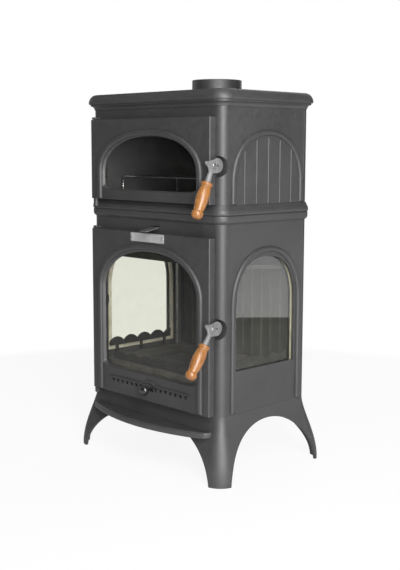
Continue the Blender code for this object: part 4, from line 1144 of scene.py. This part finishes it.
def latch(tag, pivot_z, tilt):
    pivot = Matrix.Translation((PIVOT_X, PIVOT_Y, pivot_z))
    place_at = pivot @ rotation(-tilt, "X")
    half = LATCH_THICKNESS / 2
    lever = extruded("side", [latch_plate_outline(tilt)], -half, half)
    round_edges(lever, 0.0011, 3)
    applied(lever)
    shank = [(0.0, -0.0110), (0.0024, -0.0112), (0.0040, -0.0125), (0.0052, -0.0150),
             (0.0060, -0.0200), (0.0071, -0.0370), (0.0075, -0.0425), (0.0070, SHANK_END),
             (0.0045, SHANK_END), (0.0045, -0.0490), (0.0, -0.0490)]
    boss = [(0.0, 0.0048), (0.0070, 0.0048), (0.0080, 0.0044), (0.0085, 0.0035),
            (0.0085, -0.0010), (0.0, -0.0010)]
    join(lever, turned(shank, 40), lying_along_x(turned(boss, 40)))
    cut(lever, cylinder((-0.02, 0, 0), (0.02, 0, 0), 0.0033, 32))
    cut(lever, extruded("side", [latch_groove_outline(tilt)], -half - 0.001, half - 0.0015))
    eye = polar(HOOK_REACH, tilt - 5)
    cut(lever, cylinder((-0.02, *eye), (0.02, *eye), 0.0026, 28))
    moved(lever, place_at)
    piece(lever, tag + "_latch", LEVER_STEEL, tag + "_latch_lever")
    grip = turned(GRIP_PROFILE[:2] + smooth_run(GRIP_PROFILE[1:], 3)[1:], 48)
    cut(grip, cylinder((0, 0, -0.0300), (0, 0, -0.0495), 0.0049, 36))
    moved(grip, place_at)
    wood = varnished_wood(tag + "_grip_wood", tilt)
    piece(grip, tag + "_latch", wood, tag + "_latch_grip", sharp=50)
    pin = turned([(0.0, 0.0071), (0.0022, 0.0070), (0.0036, 0.0066), (0.0046, 0.0059),
                  (0.0050, 0.0051), (0.0030, 0.0051), (0.0030, -0.0028), (0.0025, -0.0028),
                  (0.0025, -0.0120), (0.0, -0.0120)], 32)
    moved(lying_along_x(pin), pivot)
    piece(pin, tag + "_door", PLAIN_STEEL, tag + "_latch_pivot_pin")


def air_knob():
    profile = smooth_run([(0.0, 0.0258), (0.0036, 0.0255), (0.0064, 0.0246), (0.0090, 0.0232),
                          (0.0108, 0.0213), (0.0122, 0.0188), (0.0128, 0.0160), (0.0127, 0.0136),
                          (0.0120, 0.0112), (0.0107, 0.0091), (0.0088, 0.0075), (0.0068, 0.0064),
                          (0.0050, 0.0058), (0.0038, 0.0050)], 2)
    stem = [(0.0036, -0.0079), (0.0025, -0.0079), (0.0025, -0.0104), (0.0, -0.0104)]
    knob = turned(profile + stem, 48)
    moved(knob, Matrix.Translation((KNOB_X, DOOR_FRONT, KNOB_Z)) @ rotation(90, "X"))
    piece(knob, "air_regulator", KNOB, "air_knob")


def damper_slide():
    outline = [(-0.2005, 0.6012), (-0.2005, 0.6034), (-0.1560, 0.6116), (-0.0600, 0.6116),
               (-0.0600, 0.6094), (-0.1560, 0.6094)]
    bar = extruded("side", [outline], -0.0015, 0.0250)
    piece(bar, "damper", BAR_STEEL, "damper_slide", 0.0006)


# ---- CAD nodes kept as they are

KEPT = (
    (SOOT, "bottom_plate grate baffle_plate"),
    (SOOT_WALL, "rear_liner"),
    (HEARTH, "hearth_plate"),
    (OVEN_METAL, "oven_box"),
    (GLASS_FRONT, "oven_door_glass firebox_door_glass"),
    (DARK_STEEL, "ash_pan air_slide oven_strike_pin firebox_strike_pin oven_glass_clip_left "
                 "oven_glass_clip_right firebox_glass_clip_left firebox_glass_clip_right"),
    (PLAIN_STEEL, "tie_rod_front_left tie_rod_front_right tie_rod_rear_left tie_rod_rear_right "
                  "oven_hinge_pin_top oven_hinge_pin_bottom firebox_hinge_pin_top "
                  "firebox_hinge_pin_bottom"),
)


def kept_nodes():
    for finish, names in KEPT:
        for name in names.split():
            materials = NODES[name].data.materials
            materials.clear()
            materials.append(finish)


# ---- stage, light and camera

def stage():
    bm = bmesh.new()
    bmesh.ops.create_circle(bm, cap_ends=True, segments=96, radius=40.0)
    floor = from_bmesh(bm)
    floor.name = "studio_floor"
    f = Finish("pale_floor")
    put(f.shader, Base_Color=(0.80, 0.80, 0.80, 1), Roughness=0.7)
    far = f.node("VectorMath", operation="LENGTH")
    f.link(f.coords, far.inputs[0])
    fade = f.span(far.outputs["Value"], 0.0, 1.0, 0.35, 1.5)
    rays = f.node("LightPath").outputs
    seen = f.maths("MULTIPLY", f.maths("MAXIMUM", fade, 0.90), rays["Is Camera Ray"])
    glow = f.node("Emission")
    put(glow, Color=(1, 1, 1, 1), Strength=1.0)
    floor.data.materials.append(
        f.surface(mixed(f.tree, seen, f.shader.outputs[0], glow.outputs[0])))

    world = bpy.data.worlds.new("studio")
    SCENE.world = world
    world.use_nodes = True
    tree = world.node_tree
    soft = tree.nodes["Background"]
    put(soft, Color=(0.93, 0.95, 1.0, 1), Strength=0.05)
    white = tree.nodes.new("ShaderNodeBackground")
    put(white, Color=(1, 1, 1, 1), Strength=1.0)
    seen = tree.nodes.new("ShaderNodeLightPath").outputs["Is Camera Ray"]
    tree.links.new(mixed(tree, seen, soft.outputs[0], white.outputs[0]),
                   tree.nodes["World Output"].inputs["Surface"])


def bank(name, azimuth, elevation, distance, size, power, colour=(1, 1, 1)):
    """A soft light aimed at the stove; azimuth 0 is straight in front, 90 its right side."""
    turn, lift = math.radians(azimuth), math.radians(elevation)
    away = Vector((math.sin(turn) * math.cos(lift), -math.cos(turn) * math.cos(lift),
                   math.sin(lift)))
    light = bpy.data.lights.new(name, "AREA")
    light.shape = "RECTANGLE"
    light.size, light.size_y = size
    light.energy = power
    light.color = colour
    obj = new_object(light, name)
    obj.location = Vector((0, 0, 0.5)) + distance * away
    obj.rotation_mode = "QUATERNION"
    obj.rotation_quaternion = (-away).to_track_quat("-Z", "Y")
    obj.visible_camera = False


def lights():
    bank("key_bank", 56, 14, 3.0, (0.7, 1.6), 72.0, (1.0, 0.99, 0.975))
    bank("high_bank", 50, 38, 3.0, (1.0, 1.0), 42.0)
    bank("right_bank", 70, 12, 2.8, (1.0, 1.8), 41.0, (1.0, 0.99, 0.98))
    bank("left_bank", -90, 15, 2.8, (1.4, 1.8), 9.0)
    bank("window_card", 134, -5, 1.5, (0.60, 0.40), 1.4, (0.97, 0.98, 1.0))
    bank("rear_bank", 205, 25, 3.0, (1.6, 1.6), 20.0)
    bank("overhead", 0, 89, 2.6, (2.4, 2.4), 14.0, (0.97, 0.985, 1.0))


def camera():
    turn, pitch, roll = math.radians(45.715), math.radians(7.857), math.radians(0.16)
    ahead = Vector((-math.sin(turn) * math.cos(pitch), math.cos(turn) * math.cos(pitch),
                    -math.sin(pitch)))
    right = Vector((math.cos(turn), math.sin(turn), 0.0))
    up = right.cross(ahead)
    right, up = (math.cos(roll) * right + math.sin(roll) * up,
                 -math.sin(roll) * right + math.cos(roll) * up)
    data = bpy.data.cameras.new("camera")
    data.sensor_width = 36.0
    data.lens = 62.19
    data.clip_start, data.clip_end = 0.05, 200.0
    obj = new_object(data, "camera")
    place = Matrix((right, up, -ahead)).transposed().to_4x4()
    place.translation = Vector((1.8529, -1.7994, 0.8050)) + SHIFT
    obj.matrix_world = place
    SCENE.camera = obj


def main():
    SCENE.view_settings.view_transform = "Standard"
    SCENE.view_settings.look = "None"
    for make in (base_casting, front_frames, rear_panels, side_panels, band_plates, top_plate,
                 flue_collar, log_guards, side_windows, oven_rack, doors, nameplate):
        make()
    latch("oven", OVEN_PIVOT_Z, OVEN_LATCH_TILT)
    latch("firebox", FIRE_PIVOT_Z, FIRE_LATCH_TILT)
    for make in (air_knob, damper_slide, kept_nodes, stage, lights, camera):
        make()


main()
